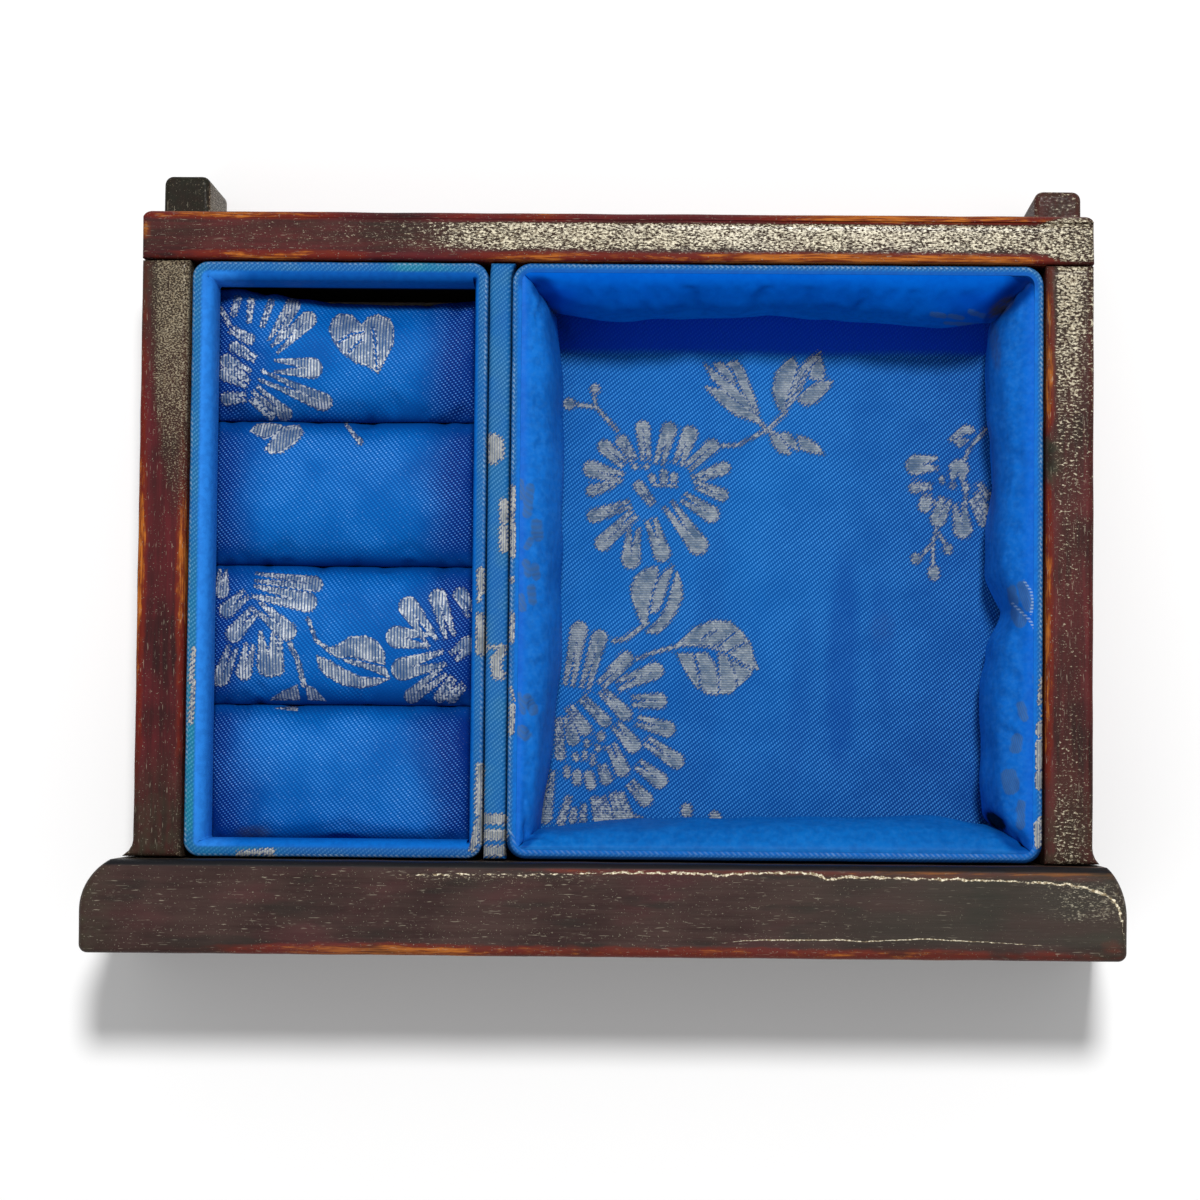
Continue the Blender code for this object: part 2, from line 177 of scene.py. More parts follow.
class Wire:
    """What comes out of a node. Sums on it add Math nodes to its finish."""

    def __init__(self, finish, socket):
        self.finish, self.socket = finish, socket

    def sum(self, operation, *others, flip=False):
        terms = [self, *others][::-1] if flip else [self, *others]
        return self.finish.node("ShaderNodeMath", {"operation": operation}, dict(enumerate(terms)))

    def __add__(self, other):
        return self.sum("ADD", other)

    def __sub__(self, other):
        return self.sum("SUBTRACT", other)

    def __rsub__(self, other):
        return self.sum("SUBTRACT", other, flip=True)

    def __mul__(self, other):
        return self.sum("MULTIPLY", other)

    def __truediv__(self, other):
        return self.sum("DIVIDE", other)

    def __pow__(self, other):
        return self.sum("POWER", other)

    def __mod__(self, other):
        return self.sum("FLOORED_MODULO", other)

    def __lt__(self, other):
        return self.sum("LESS_THAN", other)

    def __gt__(self, other):
        return self.sum("GREATER_THAN", other)

    def __neg__(self):
        return self.sum("MULTIPLY", -1)

    def __abs__(self):
        return self.sum("ABSOLUTE")

    __radd__, __rmul__ = __add__, __mul__

    def wave(self):
        """A smooth wave from 0 to 1, one crest for each whole number."""
        return (self * math.tau).sum("SINE") * 0.5 + 0.5

    def least(self, other):
        return self.sum("MINIMUM", other)

    def most(self, other):
        return self.sum("MAXIMUM", other)

    def rise(self, start, end):
        """0 before start, 1 after end, and a smooth rise between them."""
        settings = {"interpolation_type": "SMOOTHSTEP"}
        return self.finish.node(
            "ShaderNodeMapRange", settings, {"Value": self, "From Min": start, "From Max": end}
        )


class Finish:
    """A material made of nodes, with a Principled shader at its end."""

    def __init__(self, name, **numbers):
        self.material = bpy.data.materials.new(name)
        self.material.use_nodes = True
        self.tree = self.material.node_tree
        self.shader = self.tree.nodes["Principled BSDF"]
        for socket, value in numbers.items():
            self.shader.inputs[socket.replace("_", " ")].default_value = value
        self.place = self.node("ShaderNodeTexCoord", out="Object")

    def node(self, kind, settings=None, sockets=None, out=0):
        """Adds a node: its settings first, then the values or wires of its sockets."""
        node = self.tree.nodes.new(kind)
        for setting, value in (settings or {}).items():
            setattr(node, setting, value)
        for socket, value in (sockets or {}).items():
            self.plug(node.inputs[socket], value)
        return Wire(self, node.outputs[out])

    def plug(self, socket, value):
        if isinstance(value, Wire):
            self.tree.links.new(value.socket, socket)
        elif isinstance(value, (tuple, list)) and len(value) == 3 and socket.type == "RGBA":
            socket.default_value = (*value, 1)
        else:
            socket.default_value = value

    def feed(self, **wires):
        """Feeds the shader's sockets, such as Base_Color."""
        for socket, wire in wires.items():
            self.plug(self.shader.inputs[socket.replace("_", " ")], wire)

    def apart(self, vector):
        """The three numbers of a vector."""
        node = self.tree.nodes.new("ShaderNodeSeparateXYZ")
        self.plug(node.inputs[0], vector)
        return [Wire(self, output) for output in node.outputs]

    def stretch(self, vector, factors):
        return self.node(
            "ShaderNodeVectorMath", {"operation": "MULTIPLY"}, {0: vector, 1: factors}
        )

    def mottle(self, vector, scale, detail=2, kind="FBM", coarse=0.5):
        """Noise from 0 to 1, with scale lumps for each metre."""
        settings = {"noise_type": kind, "normalize": True}
        sockets = {"Vector": vector, "Scale": scale, "Detail": detail, "Roughness": coarse}
        return self.node("ShaderNodeTexNoise", settings, sockets)

    def stored(self, name):
        """A number that is stored at the corners of the mesh."""
        return self.node("ShaderNodeAttribute", {"attribute_name": name}, out="Fac")

    def table(self, wire, low, high, strengths):
        """Reads evenly spaced strengths from 0 to 1 as the wire goes from low to high."""
        share = (wire - low) / (high - low)
        found = self.node("ShaderNodeValToRGB", None, {"Fac": share})
        stops = found.socket.node.color_ramp.elements
        for index, strength in enumerate(strengths):
            place = index / (len(strengths) - 1)
            stop = stops[0] if index == 0 else stops.new(place) if place < 1 else stops[-1]
            stop.position = place
            stop.color = (strength, strength, strength, 1)
        return found

    def mix(self, share, first, second):
        """A colour between two colours."""
        settings = {"data_type": "RGBA"}
        return self.node("ShaderNodeMix", settings, {0: share, 6: first, 7: second}, out=2)

    def bump(self, height, depth, strength=1.0):
        """Turns a height from 0 to 1 into a normal for the shader."""
        sockets = {"Height": height, "Distance": depth, "Strength": strength}
        self.feed(Normal=self.node("ShaderNodeBump", None, sockets))


print("sums on wires add nodes")

# %% [markdown]
# ## Bringing a bmesh onto the chest
#
# Every piece is made in a bmesh, which is a mesh that Python can shape. `add_piece` turns it into an
# object, lets it ride on the case or on a tray, and hides the imported nodes that it stands for. `store`
# keeps one number for each corner of a mesh, for the material to read.

# %% Add a finished piece


def add_piece(shape, name, body, finish, stands_for=(), smooth=35):
    bmesh.ops.recalc_face_normals(shape, faces=shape.faces)
    mesh = bpy.data.meshes.new(name)
    shape.to_mesh(mesh)
    shape.free()
    mesh.shade_smooth()
    mesh.set_sharp_from_angle(angle=math.radians(smooth))
    mesh.materials.append(finish.material)
    piece = bpy.data.objects.new(name, mesh)
    bpy.context.scene.collection.objects.link(piece)
    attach(piece, body)
    if stands_for:
        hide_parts(*stands_for)
    print(f"{name}: {len(mesh.polygons)} faces")
    return piece


def mesh_points(mesh):
    points = np.empty(len(mesh.vertices) * 3)
    mesh.vertices.foreach_get("co", points)
    return points.reshape(-1, 3)


def store(mesh, name, numbers):
    layer = mesh.attributes.new(name, "FLOAT", "POINT")
    layer.data.foreach_set("value", np.asarray(numbers, np.float32))


def add_box(shape, low, high):
    low, high = Vector(low), Vector(high)
    place = Matrix.Translation((low + high) / 2) @ Matrix.Diagonal((*(high - low), 1))
    return bmesh.ops.create_cube(shape, size=1, matrix=place)["verts"]


def round_edges(shape, edges, radius, segments):
    bmesh.ops.bevel(
        shape,
        geom=edges,
        offset=radius,
        affect="EDGES",
        segments=segments,
        profile=0.5,
        material=-1,
        clamp_overlap=True,
    )


def slice_along(shape, axis, step):
    """Cuts a shape into slices, so that it can take small dents."""
    spots = [corner.co[axis] for corner in shape.verts]
    low, high = min(spots), max(spots)
    count = round((high - low) / step)
    normal = [1 if axis == index else 0 for index in range(3)]
    for index in range(1, count):
        spot = [(low + (high - low) * index / count) * part for part in normal]
        everything = shape.verts[:] + shape.edges[:] + shape.faces[:]
        bmesh.ops.bisect_plane(shape, geom=everything, plane_co=spot, plane_no=normal)


def dent(shape, depth, size):
    """Moves every corner a little, as use and old lacquer leave a board."""
    for corner in shape.verts:
        corner.co += noise.noise_vector(corner.co / size) * depth


# %% [markdown]
# ## Worn lacquer
#
# The wood is brushed with a dark red-brown lacquer, thin enough to let the grain show. Where hands
# and cloth have rubbed the edges the orange wood comes through, and where the varnish was thick it
# has dried in wrinkles, whose pale flakes are partly the crazed varnish and partly a painted highlight
# of the key light. Three numbers are painted on each board: how far it is rubbed, how thick its
# wrinkles are, with painted glints laid in among them, and how much dirt lies on it, up to 1 for grey
# dirt and 2 for soot; at the back ends of the side boards and along the front board's back edge that
# grey is a painted reflection. They are read from rows of strengths, one for every few pixels of the
# picture along the board, and the material breaks them up with noise.

# %% Lacquer for a board
RUBBED_WOOD = (0.430, 0.130, 0.020)
RUBBED_DARK = (0.150, 0.028, 0.008)
WORN_RED = (0.130, 0.015, 0.009)
MAROON = (0.096, 0.014, 0.017)
NEARLY_BLACK = (0.026, 0.010, 0.010)
DIRT_AND_SHEEN = (0.042, 0.038, 0.024)
SOOT = (0.013, 0.014, 0.010)
BETWEEN_FLAKES = (0.030, 0.021, 0.015)
CREAM = (0.80, 0.73, 0.54)
OLD_GOLD = (0.20, 0.155, 0.095)


def lacquer(name, along, base=MAROON, flake=(1900, 4400), painted_shine=1.0, gloss=0.05, accent=None):
    """Lacquer with its grain along X, Y or Z. accent may lay one more colour over it."""
    finish = Finish(name, Roughness=0.42, Specular_IOR_Level=gloss, Coat_Roughness=0.22)
    place = finish.place

    def streaks(long, short, detail=3):
        factors = [long if axis == along else short for axis in "XYZ"]
        return finish.mottle(finish.stretch(place, factors), 1, detail, coarse=0.62)

    rub, wrinkle_and_glint, dirt_and_sheen = (finish.stored(layer) for layer in ("rub", "wrinkle_and_glint", "dirt_and_sheen"))
    grain, fibres, patches = streaks(60, 1100), streaks(180, 2800), finish.mottle(place, 75, 4)
    shade = grain.rise(0.34, 0.66) * 0.45 + patches.rise(0.34, 0.62) * 0.55
    colour = finish.mix(shade, NEARLY_BLACK, base)
    worn = streaks(260, 1000, 4)
    colour = finish.mix((rub * 1.7 + worn - 0.95).rise(0.0, 0.5) * 0.9, colour, WORN_RED)
    bare = (rub * 1.15 + worn * 1.4 + fibres * 0.6 - 1.70).rise(0.0, 0.40)
    wood = finish.mix(fibres.rise(0.36, 0.62), RUBBED_DARK, RUBBED_WOOD)
    colour = finish.mix(bare, colour, wood)
    film = finish.mottle(place, 600, 3).rise(0.3, 0.7)
    # Up to 1 lays grey: real dirt, and in places a painted grey reflection of the light on the gloss.
    colour = finish.mix(dirt_and_sheen.least(1) * (film * 0.6 + 0.35), colour, DIRT_AND_SHEEN)
    colour = finish.mix((dirt_and_sheen - 1).rise(0, 1) * 0.95, colour, SOOT)
    colour = finish.mix(wrinkle_and_glint.rise(0.1, 0.9) * 0.85, colour, BETWEEN_FLAKES)
    lumps, crumbs = streaks(*flake, 2), finish.mottle(place, 5200, 1)
    cover = finish.mottle(place, 330, 2) * 0.16 - 0.08
    # The flakes are partly the pale crazed varnish and partly a painted highlight: cream stands in for the key
    # light glinting on the wrinkles, and a number for each board sets how bright that painted highlight is.
    flakes = (lumps + crumbs * 0.16 + cover + wrinkle_and_glint * 0.30 - 0.79).rise(0.0, 0.13)
    flakes = flakes * wrinkle_and_glint.rise(0.02, 0.12)
    tone = finish.mottle(place, 2300, 3).rise(0.32, 0.66) * (wrinkle_and_glint.rise(0.1, 0.8) * 0.6 + 0.4)
    colour = finish.mix(flakes, colour, finish.mix(tone * painted_shine, OLD_GOLD, CREAM))
    specks = finish.mottle(place, 3600, 1).rise(0.68, 0.75)
    scratches = streaks(520, 5200, 1).rise(0.68, 0.77)
    colour = finish.mix(specks.most(scratches) * 0.22, colour, CREAM)
    if accent:
        colour = accent(finish, colour)
    finish.feed(Base_Color=colour)
    finish.feed(Roughness=0.5 - flakes * 0.2 + bare * 0.2)
    finish.feed(Coat_Weight=wrinkle_and_glint * 0.25 * lumps.rise(0.4, 0.6))
    ridges = grain * 0.2 + fibres * 0.1 + lumps * wrinkle_and_glint * 0.9
    finish.bump(ridges + specks * 0.3 - bare * 0.15, 0.2 * MM)
    return finish


def read(strengths, places, start, step):
    """Reads a row of strengths that starts at a pixel and has one for each step."""
    return np.interp(places, start + step * np.arange(len(strengths)), strengths)


def band(values, solid, faded):
    """1 up to solid, fading to 0 at faded."""
    return np.interp(values, [solid * MM, faded * MM], [1, 0])


def beside(spots, line):
    """Signed distance from spots to a broken line: above zero on the right of its way."""
    nearest, side = np.full(len(spots), 1e9), np.ones(len(spots))
    for start, end in zip(np.array(line[:-1], float), np.array(line[1:], float)):
        run, off = end - start, spots - start
        share = np.clip(off @ run / (run @ run), 0, 1)
        away = np.hypot(*(off - share[:, None] * run).T)
        closer = away < nearest
        nearest = np.where(closer, away, nearest)
        side = np.where(closer, np.sign(run[0] * off[:, 1] - run[1] * off[:, 0]), side)
    return nearest * side


def paint(piece, painter):
    """Stores what a painter says for each corner, from its place and the pixel it is seen at."""
    points = mesh_points(piece.data)
    layers = zip(("rub", "wrinkle_and_glint", "dirt_and_sheen"), painter(*points.T, *seen_at(points)))
    for name, strengths in layers:
        store(piece.data, name, np.clip(strengths, 0, 2 if name == "dirt_and_sheen" else 1))


# %% [markdown]
# ## The front board
#
# The front board is thick, stands above the rim and runs past the sides. Its ends are shaped in
# rounded shoulders that sweep in to meet the side boards. Its plan is drawn as one outline: quarter
# ellipses at the shoulders, small round corners at the front. Extruding the outline upward gives the
# board, and bevelling the top edge gives the round lip that hands have polished.

# %% Shape the front board
SHOULDER_DEPTH = 8.4 * MM
FLARE_SHARE = 0.33
SHOULDER_STEPS = 14


def quarter(centre, radii, start, stop, steps):
    """Points on part of an ellipse."""
    turns = [start + (stop - start) * step / steps for step in range(steps + 1)]
    return [(centre[0] + radii[0] * math.cos(t), centre[1] + radii[1] * math.sin(t)) for t in turns]


def shoulder(case_face, end):
    """One end of the front board in plan, from the side board to the front corner."""
    side = 1 if end > case_face else -1
    start = math.radians(30)
    reach = abs(end - case_face) * (1 - FLARE_SHARE) / (1 - math.sin(start))
    deep = SHOULDER_DEPTH / math.cos(start)
    centre = (end - side * reach, WELL_FRONT - SHOULDER_DEPTH)
    points = []
    for step in range(SHOULDER_STEPS + 1):
        turn = start + (math.pi / 2 - start) * step / SHOULDER_STEPS
        points.append((centre[0] + side * reach * math.sin(turn), centre[1] + deep * math.cos(turn)))
    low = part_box("front_board")[0].y
    corner = 1.4 * MM
    for step in range(7):
        turn = math.pi / 2 * step / 6
        points.append((end - side * corner * (1 - math.cos(turn)), low + corner * (1 - math.sin(turn))))
    return points


def shape_front_board():
    low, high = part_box("front_board")
    plan = shoulder(CASE_RIGHT, high.x) + shoulder(CASE_LEFT, low.x)[::-1]
    shape = bmesh.new()
    face = shape.faces.new([shape.verts.new((x, y, low.z)) for x, y in plan])
    grown = bmesh.ops.extrude_face_region(shape, geom=[face])["geom"]
    top = [v for v in grown if isinstance(v, bmesh.types.BMVert)]
    bmesh.ops.translate(shape, verts=top, vec=(0, 0, high.z - low.z))
    level = [e for e in shape.edges if all(abs(v.co.z - high.z) < MM / 100 for v in e.verts)]
    round_edges(shape, level, 2.4 * MM, 7)
    foot = [e for e in shape.edges if all(abs(v.co.z - low.z) < MM / 100 for v in e.verts)]
    round_edges(shape, foot, 0.5 * MM, 2)
    slice_along(shape, 1, 1 * MM)
    slice_along(shape, 2, 6 * MM)
    slice_along(shape, 0, 1 * MM)
    dent(shape, 0.10 * MM, 9 * MM)
    return shape


FRONT_LIP_RUB = (
    0, 0.1, 0.2, 0.35, 0.5, 0.65, 0.95, 1, 1, 0.85, 0.7, 0.62, 0.62, 0.65, 0.6, 0.6, 0.65, 0.65, 0.6,
    0.62, 0.6, 0.68, 0.6, 0.35, 0.5, 0.4, 0.3,
)
FRONT_BACK_RUB = (
    0, 0, 0, 0, 0.1, 0.1, 0.1, 0.15, 0.2, 0.25, 0.3, 0.4, 0.5, 0.5, 0.5, 0.45, 0.45, 0.45, 0.5, 0.6,
    0.75, 0.85, 0.8, 0.8, 0.9, 0.95, 0.9,
)
# Pixels along the painted highlight that follows the rounded back edge of the front board's top, and its
# brightness every 25 pixels; then the same for the narrower painted highlight along its front lip.
BACK_HIGHLIGHT = (
    (400, 876), (470, 874), (523, 875), (603, 873), (683, 873), (723, 875), (763, 873), (805, 873),
    (820, 875), (826, 880), (846, 877), (883, 878), (923, 879), (963, 880), (1003, 881), (1043, 883),
    (1069, 885), (1086, 888), (1100, 892), (1112, 900), (1119, 909), (1121, 920),
)
BACK_HIGHLIGHT_BRIGHT = (
    0, 0.45, 0.65, 0.5, 0.3, 0.25, 0.35, 0.5, 0.6, 0.8, 0.9, 0.95, 1, 0.95, 0.9, 0.85, 0.95, 1, 0.95, 0.9,
    0.9, 0.85, 0.8, 0.8, 0.85, 0.9, 1.0, 1.1, 1.2, 1.0,
)
LIP_HIGHLIGHT = (
    (1064, 947), (1043, 946), (1003, 943), (963, 941), (925, 939), (900, 940), (860, 942),
    (843, 940), (803, 940), (763, 940), (740, 941), (716, 944),
)
LIP_HIGHLIGHT_BRIGHT = (0, 0.7, 0.8, 0.9, 0.8, 0.75, 0.6, 0.8, 0.8, 0.7, 0.5, 0.4, 0)


def paint_front(x, y, z, across, down):
    low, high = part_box("front_board")
    above = np.interp(z, [FRONT_TOP - 6 * MM, FRONT_TOP - 1.5 * MM], [0.3, 1])
    lip = band(y - low.y, 1.2, 2.7) * read(FRONT_LIP_RUB, across, 83, 40)
    corner = band(np.hypot((across - 1112) * 0.6, down - 947) * MM, 4, 14) * 0.55
    back = band(high.y - y - 0.6 * MM, 1.0, 1.9) * read(FRONT_BACK_RUB, across, 83, 40)
    # Painted glints, laid in as wrinkles: at the right end of the top (end) and behind its left part (glints).
    end = np.interp(across, [1020, 1075], [0, 1]) * band(abs(y + 57.2 * MM), 2.6, 4.4)
    glints = np.interp(across, [380, 430, 560, 620], [0, 0.8, 0.8, 0]) * band(abs(down - 877) * MM, 3, 7)
    # edge lays grey along the back edge of the top as a painted reflection.
    edge = band(high.y - y, 0.2, 1.2) * 0.8
    ends = np.interp(across, [85, 120, 1060, 1110], [0.7, 0.15, 0.2, 0.7])
    rough = np.maximum(end * 0.62, glints * 0.6) * above
    dash = band(np.hypot((across - 697) / 12, down - 930) * MM, 1.0, 2.6) * 0.8
    rub = np.maximum.reduce([lip, back, corner])
    return rub * above, np.maximum(rough, dash), np.maximum(edge, ends)


def paint_highlight_lines(piece):
    """Stores how many pixels each corner is beside the two painted highlight lines, and how bright they are.
    """
    spots = np.stack(seen_at(mesh_points(piece.data)), axis=1)
    store(piece.data, "highlight_line", beside(spots, BACK_HIGHLIGHT))
    store(piece.data, "highlight_bright", read(BACK_HIGHLIGHT_BRIGHT, spots[:, 0], 400, 25))
    store(piece.data, "lip", beside(spots, LIP_HIGHLIGHT))
    store(piece.data, "lip_highlight_bright", read(LIP_HIGHLIGHT_BRIGHT, spots[:, 0], 716, 29))


def front_highlights(finish, colour):
    """A painted highlight runs along the rounded edge behind the front board's flat top, and a narrower one
    along its lip.
    """
    x, y, z = finish.apart(finish.place)
    above = z.rise(FRONT_TOP - 4 * MM, FRONT_TOP - 1.5 * MM)
    wander = finish.mottle(finish.place, 700, 3) * 5 - 2.5
    width = finish.mottle(finish.stretch(finish.place, (1100, 2600, 2600)), 1, 3)
    bright, thin = finish.stored("highlight_bright"), finish.stored("lip_highlight_bright")
    highlight_line = bright * 1.2 + width * 4.2 - 2.15 - abs(finish.stored("highlight_line") + wander) * 0.8
    # The lip wire here is the narrower painted highlight along the front lip.
    lip = thin * 1.1 + width * 2.0 - 1.1 - abs(finish.stored("lip") + wander * 0.4) * 1.1
    highlight_line = highlight_line.rise(0.0, 0.8) * bright.rise(0.0, 0.15)
    highlight_line = highlight_line.most(lip.rise(0.0, 0.5) * thin.rise(0.0, 0.15) * 0.8) * above
    maroon = finish.mottle(finish.stretch(finish.place, (50, 160, 160)), 1, 3).rise(0.50, 0.66)
    colour = finish.mix(maroon * 0.3, colour, (0.085, 0.018, 0.024))
    sooty = finish.mottle(finish.stretch(finish.place, (70, 330, 330)), 1, 3).rise(0.54, 0.70)
    colour = finish.mix(sooty * 0.5, colour, (0.014, 0.014, 0.011))
    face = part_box("front_board")[0].y
    grey = x.rise(15 * MM, 60 * MM) * (y - face).rise(1.5 * MM, 3.5 * MM) * above
    colour = finish.mix(grey * 0.55, colour, (0.036, 0.037, 0.028))
    # Painted dark reflection: a nearly black band along the back edge of the top.
    back_edge_reflection = (y - WELL_FRONT).rise(-1.2 * MM, -0.7 * MM) * above
    colour = finish.mix(back_edge_reflection * 0.95, colour, (0.006, 0.007, 0.009))
    tone = finish.mottle(finish.place, 2600, 2).rise(0.38, 0.64)
    return finish.mix(highlight_line, colour, finish.mix(tone, (0.24, 0.18, 0.10), (0.88, 0.80, 0.60)))


FRONT_BASE = (0.054, 0.027, 0.024)
front_lacquer = lacquer("front_lacquer", "X", FRONT_BASE, gloss=0.12, accent=front_highlights)
front = add_piece(
    shape_front_board(), "front", "case", front_lacquer, ["front_board"]
)
paint(front, paint_front)
paint_highlight_lines(front)

# %% [markdown]
# ## The side boards
#
# Each side board is one plank on edge. Behind the back board it runs on as a lower tail, cut down so
# that the back board can lie over it. Drawn from the side the plank is an L, and extruding that gives
# its thickness. At the front it flares outward in a small cove that leads into the shoulder.

# %% Shape the side boards
JOINT_GAP = 0.3 * MM


def flare(y, overhang):
    """How far the cove pushes the outer face out near the front board."""
    start, length = math.radians(30), 3.1 * MM
    rise = length / math.cos(start)
    run = overhang * FLARE_SHARE / (1 - math.sin(start))
    share = min(max((WELL_FRONT + length - y) / rise, 0.0), 1.0)
    return run * (1 - math.sqrt(1 - share * share))


def shape_side_board(node, side, overhang):
    low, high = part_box(node)
    outer = CASE_RIGHT if side > 0 else CASE_LEFT
    inner = low.x if side > 0 else high.x
    notch = WELL_BACK - JOINT_GAP
    profile = [(low.y, 0), (high.y, 0), (high.y, TAIL_TOP), (notch, TAIL_TOP), (notch, RIM), (low.y, RIM)]
    shape = bmesh.new()
    face = shape.faces.new([shape.verts.new((inner, y, z)) for y, z in profile])
    grown = bmesh.ops.extrude_face_region(shape, geom=[face])["geom"]
    moved = [v for v in grown if isinstance(v, bmesh.types.BMVert)]
    bmesh.ops.translate(shape, verts=moved, vec=(outer - inner, 0, 0))
    bmesh.ops.recalc_face_normals(shape, faces=shape.faces)
    ends = [e for e in shape.edges if all(abs(v.co.y - high.y) < MM / 100 for v in e.verts)]
    upright = [e for e in ends if abs(e.verts[0].co.x - e.verts[1].co.x) < MM / 100]
    round_edges(shape, upright, 1.5 * MM, 5)
    above = [e for e in shape.edges if min(v.co.z for v in e.verts) > TAIL_TOP - MM]
    level = [e for e in above if abs(e.verts[0].co.z - e.verts[1].co.z) < MM / 100]
    sharp = [e for e in level if e.calc_face_angle(0) > 0.5]
    round_edges(shape, sharp, 1.0 * MM, 4)
    slice_along(shape, 1, 0.9 * MM)
    slice_along(shape, 0, 1 * MM)
    for corner in shape.verts:
        if abs(corner.co.x - outer) < 0.3 * MM:
            corner.co.x += side * flare(corner.co.y, overhang)
    dent(shape, 0.08 * MM, 7 * MM)
    return shape


LEFT_OUTER_RUB = (
    0.40, 0.45, 0.45, 0.45, 0.5, 0.55, 0.8, 1, 1, 0.95, 0.7, 0.6, 0.5, 0.45, 0.35, 0.25, 0.1,
)
LEFT_INNER_RUB = (
    0.2, 0.3, 0.4, 0.45, 0.45, 0.45, 0.5, 0.85, 0.95, 0.9, 0.65, 0.5, 0.45, 0.4, 0.25, 0.1, 0.05,
)
LEFT_WRINKLE = (0.75, 0.85, 0.82, 0.78, 0.72, 0.6, 0.5, 0.25, 0.1, 0, 0, 0, 0, 0.05, 0.2, 0.4, 0.5)
RIGHT_INNER_RUB = (
    0.4, 0.7, 0.85, 0.9, 0.85, 0.35, 0.6, 0.65, 0.8, 0.85, 0.85, 0.8, 0.75, 0.65, 0.3, 0.1, 0.05,
)
RIGHT_OUTER_RUB = (
    0.4, 0.5, 0.5, 0.5, 0.45, 0.4, 0.35, 0.35, 0.35, 0.4, 0.45, 0.45, 0.4, 0.3, 0.15, 0.05, 0,
)
RIGHT_WRINKLE = (
    0.98, 0.95, 0.85, 0.78, 0.66, 0.55, 0.48, 0.45, 0.40, 0.34, 0.32, 0.32, 0.34, 0.4, 0.52, 0.62, 0.66,
)


def paint_left(x, y, z, across, down):
    above = np.interp(z, [RIM - 4 * MM, RIM - 0.8 * MM], [0.2, 1])
    outside = band(x - CASE_LEFT, 0.8, 2.3) * read(LEFT_OUTER_RUB, down, 258, 38)
    inside = band(left_box[1].x - x, 0.8, 2.1) * read(LEFT_INNER_RUB, down, 258, 38)
    bare_side = np.interp(down, [400, 530], [152, 172])
    rough = read(LEFT_WRINKLE, down, 258, 38) * np.interp(across - bare_side, [-4, 5], [0, 1])
    tail = (y > WELL_BACK) * 1.0
    inner_face = (x > left_box[1].x - 0.1 * MM) * tail
    dirt_and_sheen = np.interp(down, [740, 830, 866], [0, 0.75, 1]) * 0.9 + tail * 0.85
    # Painted reflection: grey at the back end of the left board, where its gloss reflects the light.
    dirt_and_sheen += np.interp(down, [258, 400], [0.75, 0])
    rough = np.where(tail > 0, 0.18 + inner_face * 0.62, rough * above)
    soot = tail * (1 - inner_face) * np.interp(y, [57.5 * MM, 61 * MM], [0.25, 0.8])
    return np.maximum(outside, inside) * above * (1 - tail * 0.6), rough, np.minimum(dirt_and_sheen, 1) + soot


def paint_right(x, y, z, across, down):
    above = np.interp(z, [RIM - 4 * MM, RIM - 0.8 * MM], [0.2, 1])
    outside = band(CASE_RIGHT - x, 0.2, 1.4) * read(RIGHT_OUTER_RUB, down, 262, 38)
    inside = band(x - right_box[0].x, 0.7, 1.7) * read(RIGHT_INNER_RUB, down, 262, 38)
    rough = read(RIGHT_WRINKLE, down, 262, 38) * band(right_box[0].x - x, -1.7, -0.9)
    rough *= 1 - 0.35 * band(CASE_RIGHT - x, 1.6, 2.6)
    tail = (y > WELL_BACK) * 1.0
    chip = band(np.hypot((across - 1052) / 8, (down - 458) / 26) * MM, 0.5, 1.3)
    dirt_and_sheen = np.interp(down, [740, 830, 866], [0, 0.75, 1]) * 0.85 + tail * 0.6 + chip
    # Painted reflection: grey at the back end of the right board, where its gloss reflects the light.
    back_end_reflection = np.interp(down, [262, 330, 420], [0.6, 0.45, 0.1])
    # Painted highlight: a pale line of flakes along the right board's rounded outer edge near the back.
    edge_highlight = band(CASE_RIGHT - x, 0.2, 0.8) * np.interp(down, [262, 330, 440], [0.95, 0.9, 0.3])
    rough = np.where(tail > 0, 0.42, np.maximum(rough, edge_highlight) * above)
    rub = np.maximum(outside, inside) * above * (1 - tail * 0.2) * (1 - chip)
    return rub, rough, np.maximum(np.maximum(dirt_and_sheen, back_end_reflection), chip * 1.7)


left_box, right_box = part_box("left_side_board"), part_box("right_side_board")
left_overhang = CASE_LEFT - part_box("front_board")[0].x
right_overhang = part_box("front_board")[1].x - CASE_RIGHT
left_lacquer = lacquer("left_lacquer", "Y", flake=(4200, 3000), painted_shine=0.22)
right_lacquer = lacquer("right_lacquer", "Y", (0.118, 0.020, 0.022), (2700, 1500), 0.8)
left_shape = shape_side_board("left_side_board", -1, left_overhang)
right_shape = shape_side_board("right_side_board", 1, right_overhang)
left = add_piece(left_shape, "left_side", "case", left_lacquer, ["left_side_board"])
right = add_piece(right_shape, "right_side", "case", right_lacquer, ["right_side_board"])
paint(left, paint_left)
paint(right, paint_right)

# %% [markdown]
# ## The back board
#
# The back board is as wide as the case at the rim, where its ends lie over the side boards' tails.
# Below them it narrows to a tongue between the sides. Seen from the front it is a T with a very wide
# stem, and extruding that T gives the board.

# %% Shape the back board


